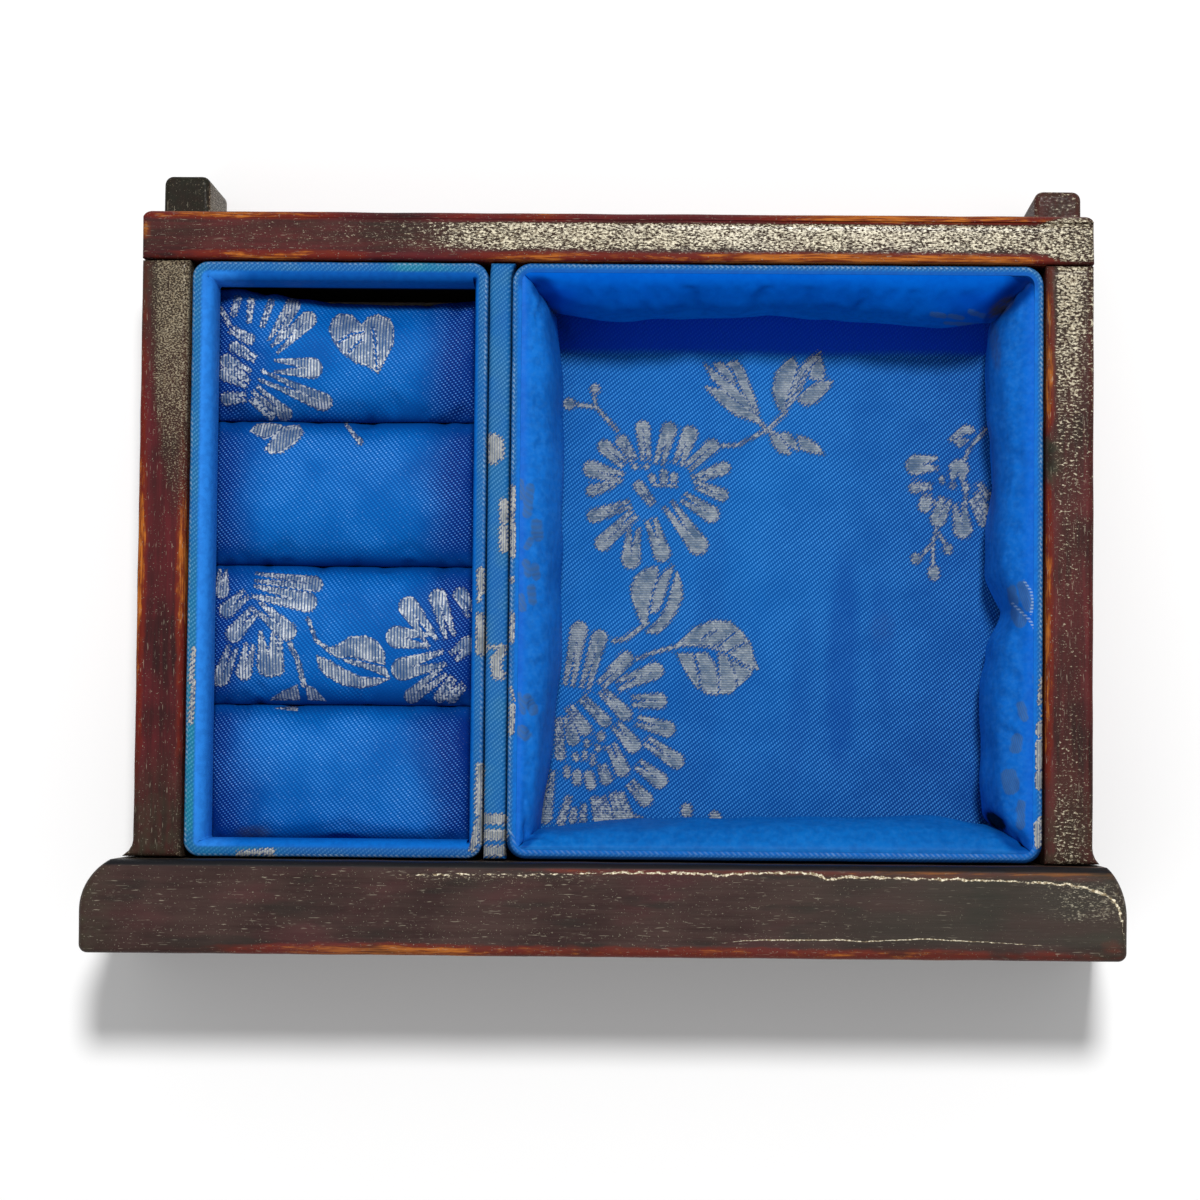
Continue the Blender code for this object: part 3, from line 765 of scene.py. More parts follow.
def shape_back_board():
    low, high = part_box("back_board")
    left, right = left_box[1].x + JOINT_GAP, right_box[0].x - JOINT_GAP
    under = TAIL_TOP + JOINT_GAP
    profile = [(left, 0), (right, 0), (right, under), (high.x, under), (high.x, RIM)]
    profile += [(low.x, RIM), (low.x, under), (left, under)]
    shape = bmesh.new()
    face = shape.faces.new([shape.verts.new((x, low.y, z)) for x, z in profile])
    grown = bmesh.ops.extrude_face_region(shape, geom=[face])["geom"]
    moved = [v for v in grown if isinstance(v, bmesh.types.BMVert)]
    bmesh.ops.translate(shape, verts=moved, vec=(0, high.y - low.y, 0))
    bmesh.ops.recalc_face_normals(shape, faces=shape.faces)
    rear = [e for e in shape.edges if all(v.co.y > high.y - MM / 100 for v in e.verts)]
    upright = [e for e in rear if all(not low.x + MM < v.co.x < high.x - MM for v in e.verts)]
    round_edges(shape, upright, 1.8 * MM, 5)
    rim = [e for e in shape.edges if all(abs(v.co.z - RIM) < MM / 100 for v in e.verts)]
    round_edges(shape, rim, 1.1 * MM, 4)
    slice_along(shape, 1, 1 * MM)
    slice_along(shape, 0, 1 * MM)
    dent(shape, 0.08 * MM, 8 * MM)
    return shape


BACK_OUTER_RUB = (
    0.5, 0.75, 0.85, 0.8, 0.7, 0.45, 0.3, 0.25, 0.5, 0.4, 0.65, 0.4, 0.35, 0.3, 0.3, 0.4, 0.7, 0.95, 1,
    1, 0.95, 0.85, 0.8, 0.6, 0.4,
)
BACK_INNER_RUB = (
    0.3, 0.4, 0.65, 0.75, 0.7, 0.6, 0.35, 0.25, 0.4, 0.7, 0.85, 0.7, 0.65, 0.65, 0.7, 0.95, 1.1, 1.1, 1.1,
    1, 1, 1, 0.9, 0.4, 0.2,
)
BACK_WRINKLE = (
    0.15, 0.2, 0.2, 0.22, 0.22, 0.28, 0.32, 0.45, 0.82, 0.95, 1, 1, 1, 0.95, 1, 1, 0.95, 1, 1, 0.95,
    0.95, 0.95, 0.95, 0.9, 0.75,
)


def paint_back(x, y, z, across, down):
    above = np.interp(z, [RIM - 5 * MM, RIM - 1.5 * MM], [0.2, 1])
    outside = band(BACK_FACE - y, 1.1, 2.2) * read(BACK_OUTER_RUB, across, 141, 40)
    inside = band(y - WELL_BACK, 1.2, 2.1) * read(BACK_INNER_RUB, across, 141, 40)
    half = np.interp(across, [1035, 1062], [2.0, 3.6]) * MM
    rough = read(BACK_WRINKLE, across, 141, 40) * band(abs(y - 53.4 * MM) - half, 0, 0.5)
    left_end = band(x - CASE_LEFT, 0.7, 1.6) * band(abs(y - 54 * MM), 1, 2)
    dirt_and_sheen = np.interp(across, [1040, 1093], [0, 0.5]) + band(abs(y - 53.4 * MM), 2, 3) * 0.35
    return np.maximum.reduce([outside, inside, left_end]) * above, rough * above, dirt_and_sheen


back_lacquer = lacquer("back_lacquer", "X")
back = add_piece(shape_back_board(), "back", "case", back_lacquer, ["back_board"])
paint(back, paint_back)

# %% [markdown]
# ## The bottom board
#
# The bottom board hardly shows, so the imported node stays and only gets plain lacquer.

# %% Finish the bottom board


def dress(node, finish):
    """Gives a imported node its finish."""
    mesh = nodes[node].data
    mesh.materials.clear()
    mesh.materials.append(finish.material)


dress("bottom_board", lacquer("bottom_lacquer", "X"))

# %% [markdown]
# ## Silver flowers as shapes
#
# The brocade has chrysanthemums and leaves woven in silver thread, a traditional pattern. Each is a
# few plain shapes, given by the pixels of the picture at which they are seen. A petal is a base, a
# tip and the radius of its round end. A stem is a line with a radius. A leaf is an outline, and veins
# are lines that are cut out of it.

# %% Petals, stems and leaves
PETALS = (
    (646, 460, 643, 428, 6.8), (659, 464, 669, 430, 7.6), (678, 464, 690, 434, 7.6),
    (688, 468, 712, 446, 6.8), (693, 480, 724, 468, 6), (697, 485, 722, 495, 6),
    (683, 497, 711, 514, 8), (668, 504, 698, 545, 9.6), (651, 520, 662, 553, 8.4),
    (634, 528, 631, 559, 9.2), (634, 514, 603, 543, 7.6), (630, 504, 594, 516, 6.4),
    (614, 483, 592, 491, 5.2), (622, 478, 592, 469, 8), (624, 464, 605, 447, 6.8),
    (634, 460, 622, 441, 5.6), (653, 504, 639, 486, 5.2), (569, 685, 579, 630, 8.1),
    (585, 688, 599, 638, 7.7), (601, 685, 626, 659, 7), (618, 685, 655, 671, 8.1),
    (633, 701, 659, 701, 7.7), (638, 721, 667, 729, 7.7), (647, 741, 676, 761, 7.7),
    (638, 764, 659, 780, 8.1), (630, 783, 645, 799, 7), (602, 691, 625, 714, 6.6),
    (582, 698, 605, 721, 5.9), (569, 707, 585, 729, 6.2), (568, 716, 573, 739, 6.2),
    (616, 725, 633, 745, 7.7), (611, 745, 622, 769, 7.3), (602, 765, 606, 779, 5.9),
    (569, 797, 561, 822, 3.7), (574, 808, 573, 820, 3.7), (584, 804, 583, 821, 3.3),
    (594, 797, 599, 820, 5.1), (602, 797, 609, 820, 5.1), (613, 793, 620, 819, 5.5),
    (620, 793, 628, 816, 4.8), (550, 771, 545, 817, 6.6), (559, 718, 560, 755, 4.8),
    (937, 463, 916, 465, 9.6), (931, 486, 914, 488, 4.6), (927, 494, 925, 506, 6),
    (947, 499, 938, 519, 7.4), (957, 480, 959, 469, 9.4), (964, 482, 966, 489, 3.1),
    (959, 504, 963, 529, 8.9), (972, 499, 983, 522, 4.3), (977, 493, 986, 511, 4.1),
    (979, 483, 989, 497, 3.1), (944, 480, 943, 480, 3.6), (952, 488, 953, 485, 2.9),
    (274, 350, 308, 320, 8.5), (274, 366, 312, 368, 10.7), (260, 375, 323, 402, 9),
    (255, 389, 285, 414, 7.3), (251, 399, 271, 416, 4.3), (272, 342, 293, 305, 7.3),
    (262, 327, 271, 302, 3.4), (249, 323, 251, 301, 3.4), (233, 316, 238, 299, 3.8),
    (230, 325, 220, 308, 2.6), (231, 329, 249, 339, 5.5), (255, 359, 235, 347, 5.5),
    (249, 374, 227, 361, 6.8), (248, 384, 226, 374, 6.8), (246, 397, 227, 399, 6.4),
    (255, 577, 315, 584, 7.7), (253, 591, 307, 602, 10), (257, 606, 287, 631, 9.5),
    (255, 610, 234, 634, 8.2), (246, 594, 227, 610, 7.7), (223, 569, 222, 591, 6.8),
    (233, 647, 221, 678, 8.2), (250, 644, 244, 672, 7.7), (267, 631, 269, 665, 11.8),
    (277, 631, 277, 669, 6.8), (432, 642, 409, 607, 10.4), (430, 641, 397, 637, 11.3),
    (444, 658, 403, 669, 11.8), (450, 637, 438, 598, 8.6), (472, 615, 461, 595, 7.3),
    (453, 657, 468, 645, 8.6), (444, 671, 412, 696, 8.2), (453, 678, 440, 697, 5.9),
    (464, 685, 452, 698, 5.9),
)
STEMS = (
    (719, 446, 738, 445, 1.4), (738, 445, 767, 430, 1.4), (767, 430, 786, 412, 1.4),
    (767, 430, 758, 420, 1.6), (767, 430, 778, 436, 1.6), (617, 430, 596, 407, 1.2),
    (596, 407, 572, 404, 1.4), (596, 407, 594, 394, 1), (595, 389, 595, 389, 4.4),
    (570, 404, 569, 404, 5.2), (664, 473, 664, 480, 3.6), (674, 476, 674, 480, 3.2),
    (652, 477, 653, 480, 2.8), (654, 485, 676, 486, 1), (635, 466, 635, 467, 2),
    (647, 466, 647, 467, 2), (610, 476, 620, 481, 1.8), (614, 641, 625, 639, 1.3),
    (625, 639, 647, 623, 1.5), (637, 659, 649, 654, 1.3), (649, 654, 677, 646, 1.3),
    (687, 809, 687, 812, 4.8), (715, 816, 716, 818, 4.8), (635, 817, 641, 819, 1.8),
    (577, 774, 577, 781, 4), (589, 776, 591, 785, 4.8), (567, 769, 567, 775, 2.6),
    (601, 735, 601, 738, 3.3), (587, 742, 587, 745, 2.2), (598, 747, 598, 749, 2.2),
    (575, 755, 576, 758, 2.2), (585, 753, 585, 758, 1.8), (593, 756, 593, 764, 1.8),
    (600, 767, 600, 771, 1.5), (986, 429, 969, 449, 1.3), (969, 449, 965, 459, 1.2),
    (937, 527, 933, 542, 1.1), (933, 542, 920, 558, 1.1), (916, 558, 916, 559, 4.3),
    (933, 545, 933, 564, 1), (934, 571, 934, 575, 5), (938, 533, 946, 545, 1.1),
    (948, 548, 948, 550, 3.8), (966, 494, 965, 510, 1.3), (933, 501, 938, 506, 1.4),
    (940, 498, 943, 504, 1.2), (346, 424, 360, 443, 1.9), (360, 440, 360, 442, 2.8),
    (308, 619, 316, 640, 1.8), (316, 640, 330, 651, 1.8), (290, 644, 298, 661, 2.3),
    (298, 661, 304, 685, 2.5),
)
LEAVES = (
    (
        (762, 424), (752, 420), (736, 415), (720, 402), (706, 387), (722, 390), (738, 402), (756, 414),
    ),
    (
        (705, 364), (716, 373), (730, 383), (747, 400), (758, 416), (742, 406), (726, 392), (712, 378),
    ),
    (
        (714, 364), (722, 363), (733, 376), (736, 385), (726, 378), (718, 370),
    ),
    (
        (728, 364), (736, 361), (744, 370), (749, 384), (754, 398), (758, 413), (747, 400), (741, 388),
        (736, 374),
    ),
    (
        (785, 415), (778, 406), (773, 392), (776, 374), (786, 362), (793, 358), (798, 368), (795, 384),
        (789, 400),
    ),
    (
        (789, 406), (795, 386), (800, 369), (810, 358), (821, 352), (812, 364), (806, 376), (801, 390),
    ),
    (
        (810, 378), (812, 368), (820, 356), (824, 370), (823, 380),
    ),
    (
        (798, 400), (808, 388), (820, 382), (832, 382), (826, 391), (816, 402), (806, 405),
    ),
    (
        (770, 433), (778, 436), (786, 444), (790, 454), (780, 452), (773, 444),
    ),
    (
        (780, 434), (788, 433), (795, 440), (798, 450), (790, 446), (783, 440),
    ),
    (
        (798, 436), (808, 439), (817, 445), (823, 454), (810, 452), (801, 449),
    ),
    (
        (657, 567), (647, 569), (636, 577), (631, 588), (633, 600), (638, 613), (642, 623), (647, 619),
        (649, 604), (653, 588), (658, 575),
    ),
    (
        (673, 566), (666, 571), (658, 580), (654, 595), (651, 613), (658, 610), (665, 595), (669, 580),
    ),
    (
        (677, 572), (681, 584), (682, 597), (675, 613), (666, 626), (657, 633), (647, 632), (658, 621),
        (667, 606), (672, 589),
    ),
    (
        (676, 646), (686, 637), (695, 628), (713, 621), (730, 622), (741, 632), (750, 644), (753, 657),
        (758, 669), (748, 665), (735, 657), (728, 652), (713, 648), (695, 645),
    ),
    (
        (678, 654), (692, 654), (695, 665), (698, 677), (698, 688), (690, 677), (683, 665),
    ),
    (
        (696, 654), (706, 653), (714, 663), (718, 677), (717, 694), (706, 693), (701, 687), (700, 670),
    ),
    (
        (719, 654), (726, 655), (732, 668), (737, 685), (731, 693), (720, 693), (720, 677),
    ),
    (
        (730, 659), (741, 663), (754, 668), (748, 677), (739, 685), (735, 674),
    ),
    (
        (950, 440), (957, 432), (965, 426), (973, 428), (974, 432), (969, 433), (963, 434), (957, 437),
    ),
    (
        (954, 441), (959, 438), (968, 440), (963, 445), (959, 446),
    ),
    (
        (329, 329), (333, 319), (339, 314), (351, 315), (362, 325), (368, 318), (378, 315), (390, 319),
        (394, 329), (393, 344), (386, 357), (378, 373), (369, 366), (355, 362), (342, 352), (333, 340),
    ),
    (
        (250, 431), (257, 424), (272, 423), (282, 425), (278, 433), (265, 439),
    ),
    (
        (265, 449), (272, 440), (285, 430), (299, 425), (303, 433), (296, 442), (282, 452), (270, 453),
    ),
    (
        (272, 438), (282, 427), (295, 425), (287, 431), (278, 438),
    ),
    (
        (321, 645), (330, 648), (339, 645), (350, 637), (366, 636), (377, 641), (385, 653), (385, 667),
        (390, 678), (373, 671), (352, 664), (336, 657),
    ),
    (
        (317, 656), (330, 661), (343, 669), (361, 677), (389, 679), (377, 685), (361, 688), (343, 685),
        (327, 676), (319, 667),
    ),
    (
        (270, 700), (283, 691), (297, 685), (300, 700),
    ),
    (
        (306, 685), (314, 688), (326, 701), (308, 700),
    ),
    (
        (275, 708), (287, 707), (298, 707), (297, 711), (289, 710),
    ),
)
VEINS = (
    (339, 342, 351, 334, 1.1), (351, 334, 363, 332, 1.1), (349, 352, 361, 340, 1.1),
    (375, 340, 377, 369, 1.1), (373, 329, 375, 340, 0.9), (336, 659, 350, 658, 0.9),
    (350, 658, 385, 666, 0.9), (702, 639, 715, 630, 0.9), (715, 648, 734, 633, 0.9),
    (728, 652, 745, 643, 0.9), (701, 646, 723, 646, 0.7), (729, 659, 751, 670, 0.9),
    (786, 404, 797, 370, 0.8), (792, 400, 806, 370, 0.8),
)
RIM_MARKS = (
    (493, 439, 493, 459, 5), (497, 442, 498, 454, 5.9), (504, 503, 504, 520, 3.9),
    (504, 529, 504, 548, 3.9), (513, 488, 513, 511, 2.3), (513, 511, 512, 520, 1.8),
    (513, 524, 513, 554, 2.7), (512, 579, 512, 580, 2.3), (513, 615, 512, 640, 2.3),
    (513, 706, 512, 732, 2.7), (511, 688, 515, 701, 0.9), (481, 570, 482, 590, 2.7),
    (480, 592, 479, 601, 1.4), (480, 617, 480, 651, 3.9), (488, 647, 506, 647, 1.1),
    (502, 649, 498, 658, 4.5), (496, 660, 497, 674, 5), (502, 674, 501, 676, 3.2),
    (1043, 680, 1039, 703, 1.9), (1044, 711, 1043, 715, 1.2), (1040, 726, 1039, 732, 4.1),
    (1043, 738, 1043, 746, 1.7), (1039, 744, 1039, 767, 4.1), (1039, 775, 1039, 785, 4.6),
    (1037, 825, 1038, 844, 3.7), (1040, 819, 1041, 837, 1.7), (194, 649, 191, 681, 1.8),
    (194, 681, 191, 721, 2), (480, 572, 481, 590, 3.2), (481, 622, 483, 651, 3.6),
    (480, 767, 479, 812, 3.6), (481, 812, 481, 841, 2.7), (479, 821, 472, 848, 3.2),
    (239, 854, 271, 851, 2.7), (264, 851, 271, 856, 2.3), (486, 819, 502, 819, 5),
    (486, 835, 502, 835, 5), (486, 851, 502, 851, 5), (486, 861, 497, 861, 2.3),
)
# Ovals of painted shade, each a pixel, two half sizes, a turn and a strength: hollows and folds of the linings
# and faint folds in the floor. The stains below are real.
SHADES = (
    (1012, 297, 30, 12, -41, 0.75), (990, 316, 9, 4, -50, 0.7), (545, 292, 17, 10, 42, 0.55),
    (996, 821, 15, 7, 42, 1.0), (1014, 840, 24, 10, 40, 0.55), (530, 841, 14, 3, -40, 0.6),
    (842, 660, 105, 15, 92, 0.28), (882, 640, 60, 12, 88, 0.2), (800, 700, 90, 10, 95, 0.15),
    (222, 835, 9, 7, 30, 0.6), (560, 320, 24, 5, 62, 0.5),
)
STAINS = (
    (1001, 307, 15, 6, -38, 0.85), (995, 345, 24, 5, 84, 0.35), (254, 832, 17, 6, 0, 0.35),
    (882, 628, 12, 14, 0, 0.08), (1026, 285, 5, 4, -40, 0.15), (554, 311, 4, 2, 40, 0.7),
    (200, 640, 3, 30, 0, 0.2),
)
REVERSE_MARKS = (
    (519, 483, 521, 495, 4.5), (530, 488, 527, 513, 4.5), (536, 524, 538, 536, 5.4),
    (531, 540, 527, 547, 3.2), (526, 563, 528, 574, 3.6), (535, 567, 536, 576, 4.1),
    (531, 588, 533, 601, 4.1), (521, 597, 523, 608, 3.6), (527, 699, 533, 710, 5.4),
    (521, 731, 526, 735, 5.4), (519, 694, 524, 712, 2.7), (1012, 590, 1014, 602, 4.6),
    (1017, 613, 1020, 621, 6.6), (1022, 586, 1029, 606, 5.4), (1036, 676, 1036, 682, 2.9),
    (1021, 705, 1024, 717, 4.1),
    (932, 314, 944, 316, 2.2), (950, 316, 962, 318, 2.2), (970, 312, 984, 316, 2.4), (946, 323, 978, 325, 1.6),
    (1017, 740, 1016, 748, 5.8), (1009, 777, 1011, 786, 8.3), (1021, 804, 1021, 825, 4.1),
)
REVERSE_BEADS = (
    (1024, 581, 1031, 591, 0.9), (1031, 591, 1033, 602, 1.0), (1033, 602, 1031, 613, 1.2),
    (1012, 603, 1020, 611, 0.9), (1020, 611, 1029, 619, 1.0), (1029, 619, 1037, 632, 1.2),
    (1037, 632, 1043, 647, 1.3), (1041, 662, 1043, 700, 1.2),
)
print("petals:", len(PETALS), " leaves:", len(LEAVES))

# %% [markdown]
# ## How far to the nearest flower
#
# For each point of the cloth we work out how many pixels it is outside the nearest shape, or, below
# zero, inside it. Stored on the mesh, this distance tells the material where silver thread is woven.
# A shape is only measured near its own box, which keeps this quick.

# %% Measure the distance to the shapes
FAR = 6.0
PETAL_BASE, PETAL_OPEN, ARM = 0.66, 0.64, 2.7


def to_line(spots, line):
    """Distance to a line with a radius, or two radii, and the share of the way along it."""
    start, end = np.array(line[0:2], float), np.array(line[2:4], float)
    first, last = line[4], line[-1]
    run = end - start
    share = np.clip((spots - start) @ run / max(run @ run, 1e-6), 0, 1)
    away = np.hypot(*(spots - start - share[:, None] * run).T)
    return away - first - (last - first) * share, share


def to_petal(spots, petal):
    """A petal is two arms at its open base, which join in a round, filled tip."""
    base, tip, radius = np.array(petal[0:2], float), np.array(petal[2:4], float), petal[4]
    away, share = to_line(spots, (*petal[:4], radius * PETAL_BASE, radius))
    run = tip - base
    length = max(float(np.hypot(*run)), 1e-6)
    centre_line = np.hypot(*(spots - base - share[:, None] * run).T)
    opening = (radius * PETAL_BASE - ARM) * (1 - share / PETAL_OPEN)
    before = -(spots - base) @ run / length
    return np.maximum.reduce([away, opening - centre_line, before])


def to_leaf(spots, outline):
    corners = np.array(outline, float)
    away = np.full(len(spots), FAR)
    inside = np.zeros(len(spots), bool)
    for start, end in zip(corners, np.roll(corners, -1, axis=0)):
        away = np.minimum(away, to_line(spots, (*start, *end, 0))[0])
        slope = (end[0] - start[0]) / (end[1] - start[1] + 1e-9)
        level = (start[1] > spots[:, 1]) != (end[1] > spots[:, 1])
        inside ^= level & (spots[:, 0] < start[0] + slope * (spots[:, 1] - start[1]))
    return np.where(inside, -away, away) - 0.4


def to_line_only(spots, line):
    return to_line(spots, line)[0]


def near(spots, shape, pairs):
    """Which points lie near the box of a shape."""
    corners = np.array(shape[:pairs] if pairs else shape, float).reshape(-1, 2)
    margin = FAR + (shape[4] if pairs else 0)
    low, high = corners.min(0) - margin, corners.max(0) + margin
    return np.flatnonzero(((spots > low) & (spots < high)).all(1))


def to_shapes(spots, groups):
    """Distance to the nearest of many shapes. Groups pair a measure with its shapes."""
    nearest = np.full(len(spots), FAR)
    for measure, shapes in groups:
        for shape in shapes:
            chosen = near(spots, shape, 0 if measure is to_leaf else 4)
            if len(chosen):
                nearest[chosen] = np.minimum(nearest[chosen], measure(spots[chosen], shape))
    return nearest


def to_flowers(points):
    """Distance in pixels from points of the cloth to its silver flowers."""
    spots = np.stack(seen_at(points), axis=1)
    away = to_shapes(spots, [(to_leaf, LEAVES)])
    away = np.maximum(away, -to_shapes(spots, [(to_line_only, VEINS)]))
    return np.minimum(away, to_shapes(spots, [(to_petal, PETALS), (to_line_only, STEMS)]))


def store_shade_and_stains(piece):
    """Stores where the cloth lies in shade and where it is stained."""
    points = mesh_points(piece.data)
    store(piece.data, "shade", ovals(points, SHADES))
    store(piece.data, "stain", ovals(points, STAINS))


def to_marks(points, marks):
    return to_shapes(np.stack(seen_at(points), axis=1), [(to_line_only, marks)])


def ease(share):
    """A smooth step from 0 to 1."""
    return share * share * (3 - 2 * share)


def ovals(points, table):
    """Strength of soft oval spots, each a pixel, two half sizes, a turn in degrees and a strength."""
    across, down = seen_at(points)
    strongest = np.zeros(len(across))
    for x, y, long, short, turn, strength in table:
        c, s = math.cos(math.radians(turn)), math.sin(math.radians(turn))
        lengthwise, sideways = (across - x) * c + (down - y) * s, (down - y) * c - (across - x) * s
        share = np.clip(2.0 - 1.5 * np.hypot(lengthwise / long, sideways / short), 0, 1)
        strongest = np.maximum(strongest, strength * ease(share))
    return strongest


tip = np.array([[643.0, 428.0]])
print("distance at a petal's tip:", round(float(to_petal(tip, PETALS[0])[0]), 2))

# %% [markdown]
# ## Cutting finer
#
# A flower's edge needs small faces, and plain cloth doesn't. `finer` splits only the faces near a
# shape.

# %% Finer faces


def finer(shape, measure, cuts, reach=3.0):
    """Splits the faces of a bmesh near the shapes that measure gives the distance to."""
    faces = [face for face in shape.faces if len(face.verts) == 4]
    middles = np.array([face.calc_center_median() for face in faces])
    away = measure(middles)
    chosen = [face for face, distance in zip(faces, away) if distance < reach]
    edges = {edge for face in chosen for edge in face.edges}
    bmesh.ops.subdivide_edges(shape, edges=list(edges), cuts=cuts, use_grid_fill=True)


# %% [markdown]
# ## Woven finishes
#
# A brocade is a ground weave with a second, silver weave on top. Seen close, the ground is rows of
# small pale dots where a thread passes over. The silver lies in parallel ribs with blue showing
# between them, and its edge steps from rib to rib. On the reverse of the cloth the ground is smooth
# satin, and the flowers are only dim marks.

# %% Brocade and satin
DEEP_BLUE = (0.0006, 0.028, 0.200)
BLUE = (0.0012, 0.128, 0.470)
PALE_BLUE = (0.095, 0.390, 0.780)
SATIN_BLUE = (0.0030, 0.185, 0.680)
DUSTY_BLUE = (0.020, 0.118, 0.265)
TEAL = (0.012, 0.200, 0.270)
STAIN_BROWN = (0.055, 0.050, 0.045)
FLOOR_SILVER = ((0.075, 0.120, 0.180), (0.185, 0.225, 0.260), (0.36, 0.39, 0.40))
ROLL_SILVER = ((0.100, 0.155, 0.250), (0.240, 0.290, 0.350), (0.62, 0.65, 0.66))
RIM_SILVER = ((0.190, 0.210, 0.210), (0.300, 0.310, 0.300), (0.52, 0.52, 0.48))


def turned(u, v, angle):
    """Two wires turned by an angle in degrees."""
    c, s = math.cos(math.radians(angle)), math.sin(math.radians(angle))
    return u * c + v * s, v * c - u * s


def raised_threads(u, v, turn=0, crossing=0.6):
    """Where the weave's threads come up: ribs that rise to the right, crossed by finer and steeper ones."""
    ribs = (turned(u, v, turn - 49)[0] / (0.60 * MM)).wave()
    steeper = (turned(u, v, turn + 23)[0] / (0.417 * MM)).wave()
    return ribs * (steeper * crossing + (1 - crossing))


class Cloth(Finish):
    """Cloth whose ground colour, dots and silver threads are laid over one another."""

    def __init__(self, name, ground=BLUE, cloudy=0.4, gloss=0.04):
        super().__init__(name, Roughness=0.6, Specular_IOR_Level=gloss)
        self.x, self.y, self.z = self.apart(self.place)
        self.cloud = self.mottle(self.place, 55, 3)
        self.fine = self.mottle(self.place, 1700, 1)
        self.colour = self.mix(self.cloud.rise(0.3, 0.72) * cloudy, ground, DEEP_BLUE)
        self.height = self.fine * 0.15
        self.rough = self.fine * 0.10 + 0.52

    def tint(self, share, colour):
        self.colour = self.mix(share, self.colour, colour)

    def weave(self, dots, strength=0.55, colour=PALE_BLUE, low=0.40, high=0.90):
        """Pale where a thread comes up, and dark between the threads."""
        self.dots = dots
        self.tint((low - dots).rise(0.0, low) * strength * 0.6, DEEP_BLUE)
        self.tint(dots.rise(low, high) * (self.fine * 0.9 + 0.35) * strength, colour)
        self.height = self.height + dots * 0.45

    def silver(self, across, along, pitch, metals=RIM_SILVER, bright=0.35, ragged=0.9, between=0.5):
        """Silver threads side by side, across being the way from one thread to the next."""
        dim, plain, brightest = metals
        thread = across / (pitch * MM)
        spot = self.node("ShaderNodeCombineXYZ", None, {0: thread.sum("FLOOR"), 1: along * 420})
        uneven = (self.mottle(spot, 1.9, 1) - 0.5) * ragged
        woven = (self.stored("silver") + uneven + (0.35 - self.dots) * 3.4 - 1.0).rise(0.4, -0.4)
        tone = self.mottle(self.place, 300, 3) * 0.6 + self.mottle(spot, 0.9, 2) * 0.4
        metal = self.mix(tone.rise(0.36, 0.56), dim, plain)
        metal = self.mix(tone.rise(0.50, 0.66) * bright, metal, brightest)
        glint = self.mottle(self.place, 2600, 1).rise(0.56, 0.70)
        metal = self.mix(glint * bright * tone.rise(0.36, 0.56), metal, brightest)
        crease = (0.5 - thread.wave()).rise(0.0, 0.45) * between
        metal = self.mix(crease, metal, (0.012, 0.065, 0.220))
        edge = abs(self.stored("silver") + 0.6).rise(1.7, 0.5)
        stitch = self.dots.most(self.mottle(self.place, 1900, 1).rise(0.44, 0.60))
        metal = self.mix(edge * stitch.rise(0.55, 0.20) * 0.8, metal, (0.006, 0.040, 0.160))
        metal = self.mix(edge * stitch.rise(0.60, 0.90) * (bright * 0.3 + 0.35), metal, brightest)
        self.tint(woven, metal)
        self.feed(Metallic=woven * 0.1)
        self.height = self.height + woven * (thread.wave() * 0.5 + 0.5)
        self.rough = self.rough - woven * 0.12
        return woven

    def shade_and_stain(self):
        """Painted shade where the cloth folds into itself, nearly black where it is deepest, and brown where
        it is stained.
        """
        shade = self.stored("shade")
        self.tint(shade, (0.0003, 0.030, 0.230))
        self.tint(shade.rise(0.75, 1.0), (0.0005, 0.002, 0.010))
        blotch = self.mottle(self.place, 900, 3).rise(0.25, 0.6)
        self.tint(self.stored("stain") * (blotch * 0.6 + 0.4), STAIN_BROWN)

    def done(self, depth=0.09):
        self.feed(Base_Color=self.colour)
        self.feed(Roughness=self.rough)
        self.bump(self.height, depth * MM)
        return self


def satin(name, ground=SATIN_BLUE, gloss=0.03, sheen=0.08, fuzzy=0.2, low=0.0, shade=None):
    """The smooth reverse of the brocade, with fine streaks and dim marks, painted sheen on the streaks,
    painted light on the lower part and, where given, painted shade.
    """
    cloth = Cloth(name, ground=ground, cloudy=0.22, gloss=gloss)
    streaks = cloth.mottle(cloth.stretch(cloth.place, (1500, 1500, 220)), 1, 2)
    fuzz = cloth.mottle(cloth.place, 700, 4)
    # Painted sheen: pale streaks.
    cloth.tint(streaks.rise(0.35, 0.75) * sheen, PALE_BLUE)
    cloth.tint(fuzz.rise(0.60, 0.35) * fuzzy, DEEP_BLUE)
    # Painted light: the lower part of a lining is lightened.
    cloth.tint(cloth.z.rise(22 * MM, 12 * MM) * low, (0.002, 0.26, 1.0))
    if shade:
        cloth.tint(shade(cloth), (0.0003, 0.055, 0.420))
    away = cloth.stored("silver")
    dim = (away + fuzz * 4.5 - 2.6).rise(1.1, -1.3)
    floats = (cloth.x + cloth.y * 0.6 + cloth.z) / (0.62 * MM)
    cloth.tint(dim * (floats.wave() * 0.3 + 0.50), (0.046, 0.120, 0.270))
    beads = (cloth.y / (0.55 * MM)).wave().rise(0.2, 0.8)
    cloth.tint(cloth.stored("beads").rise(0.7, 0.0) * beads * 0.6, (0.30, 0.42, 0.58))
    cloth.shade_and_stain()
    cloth.height = cloth.height + streaks * 0.3 + fuzz * 0.35 + dim * floats.wave() * 0.4
    cloth.rough = cloth.rough - 0.05
    return cloth.done(0.05)


# %% [markdown]
# ## The tray walls
#
# Each tray is a band of card with cloth pulled over its rim and glued down. The band is one strip
# that closes on itself: its stations run round the tray, and at each the same profile goes up the
# outside, over the soft rim and down the inside. Above the rim's inner edge the pattern side shows.
# Below it the lining covers the card with its smooth side out.

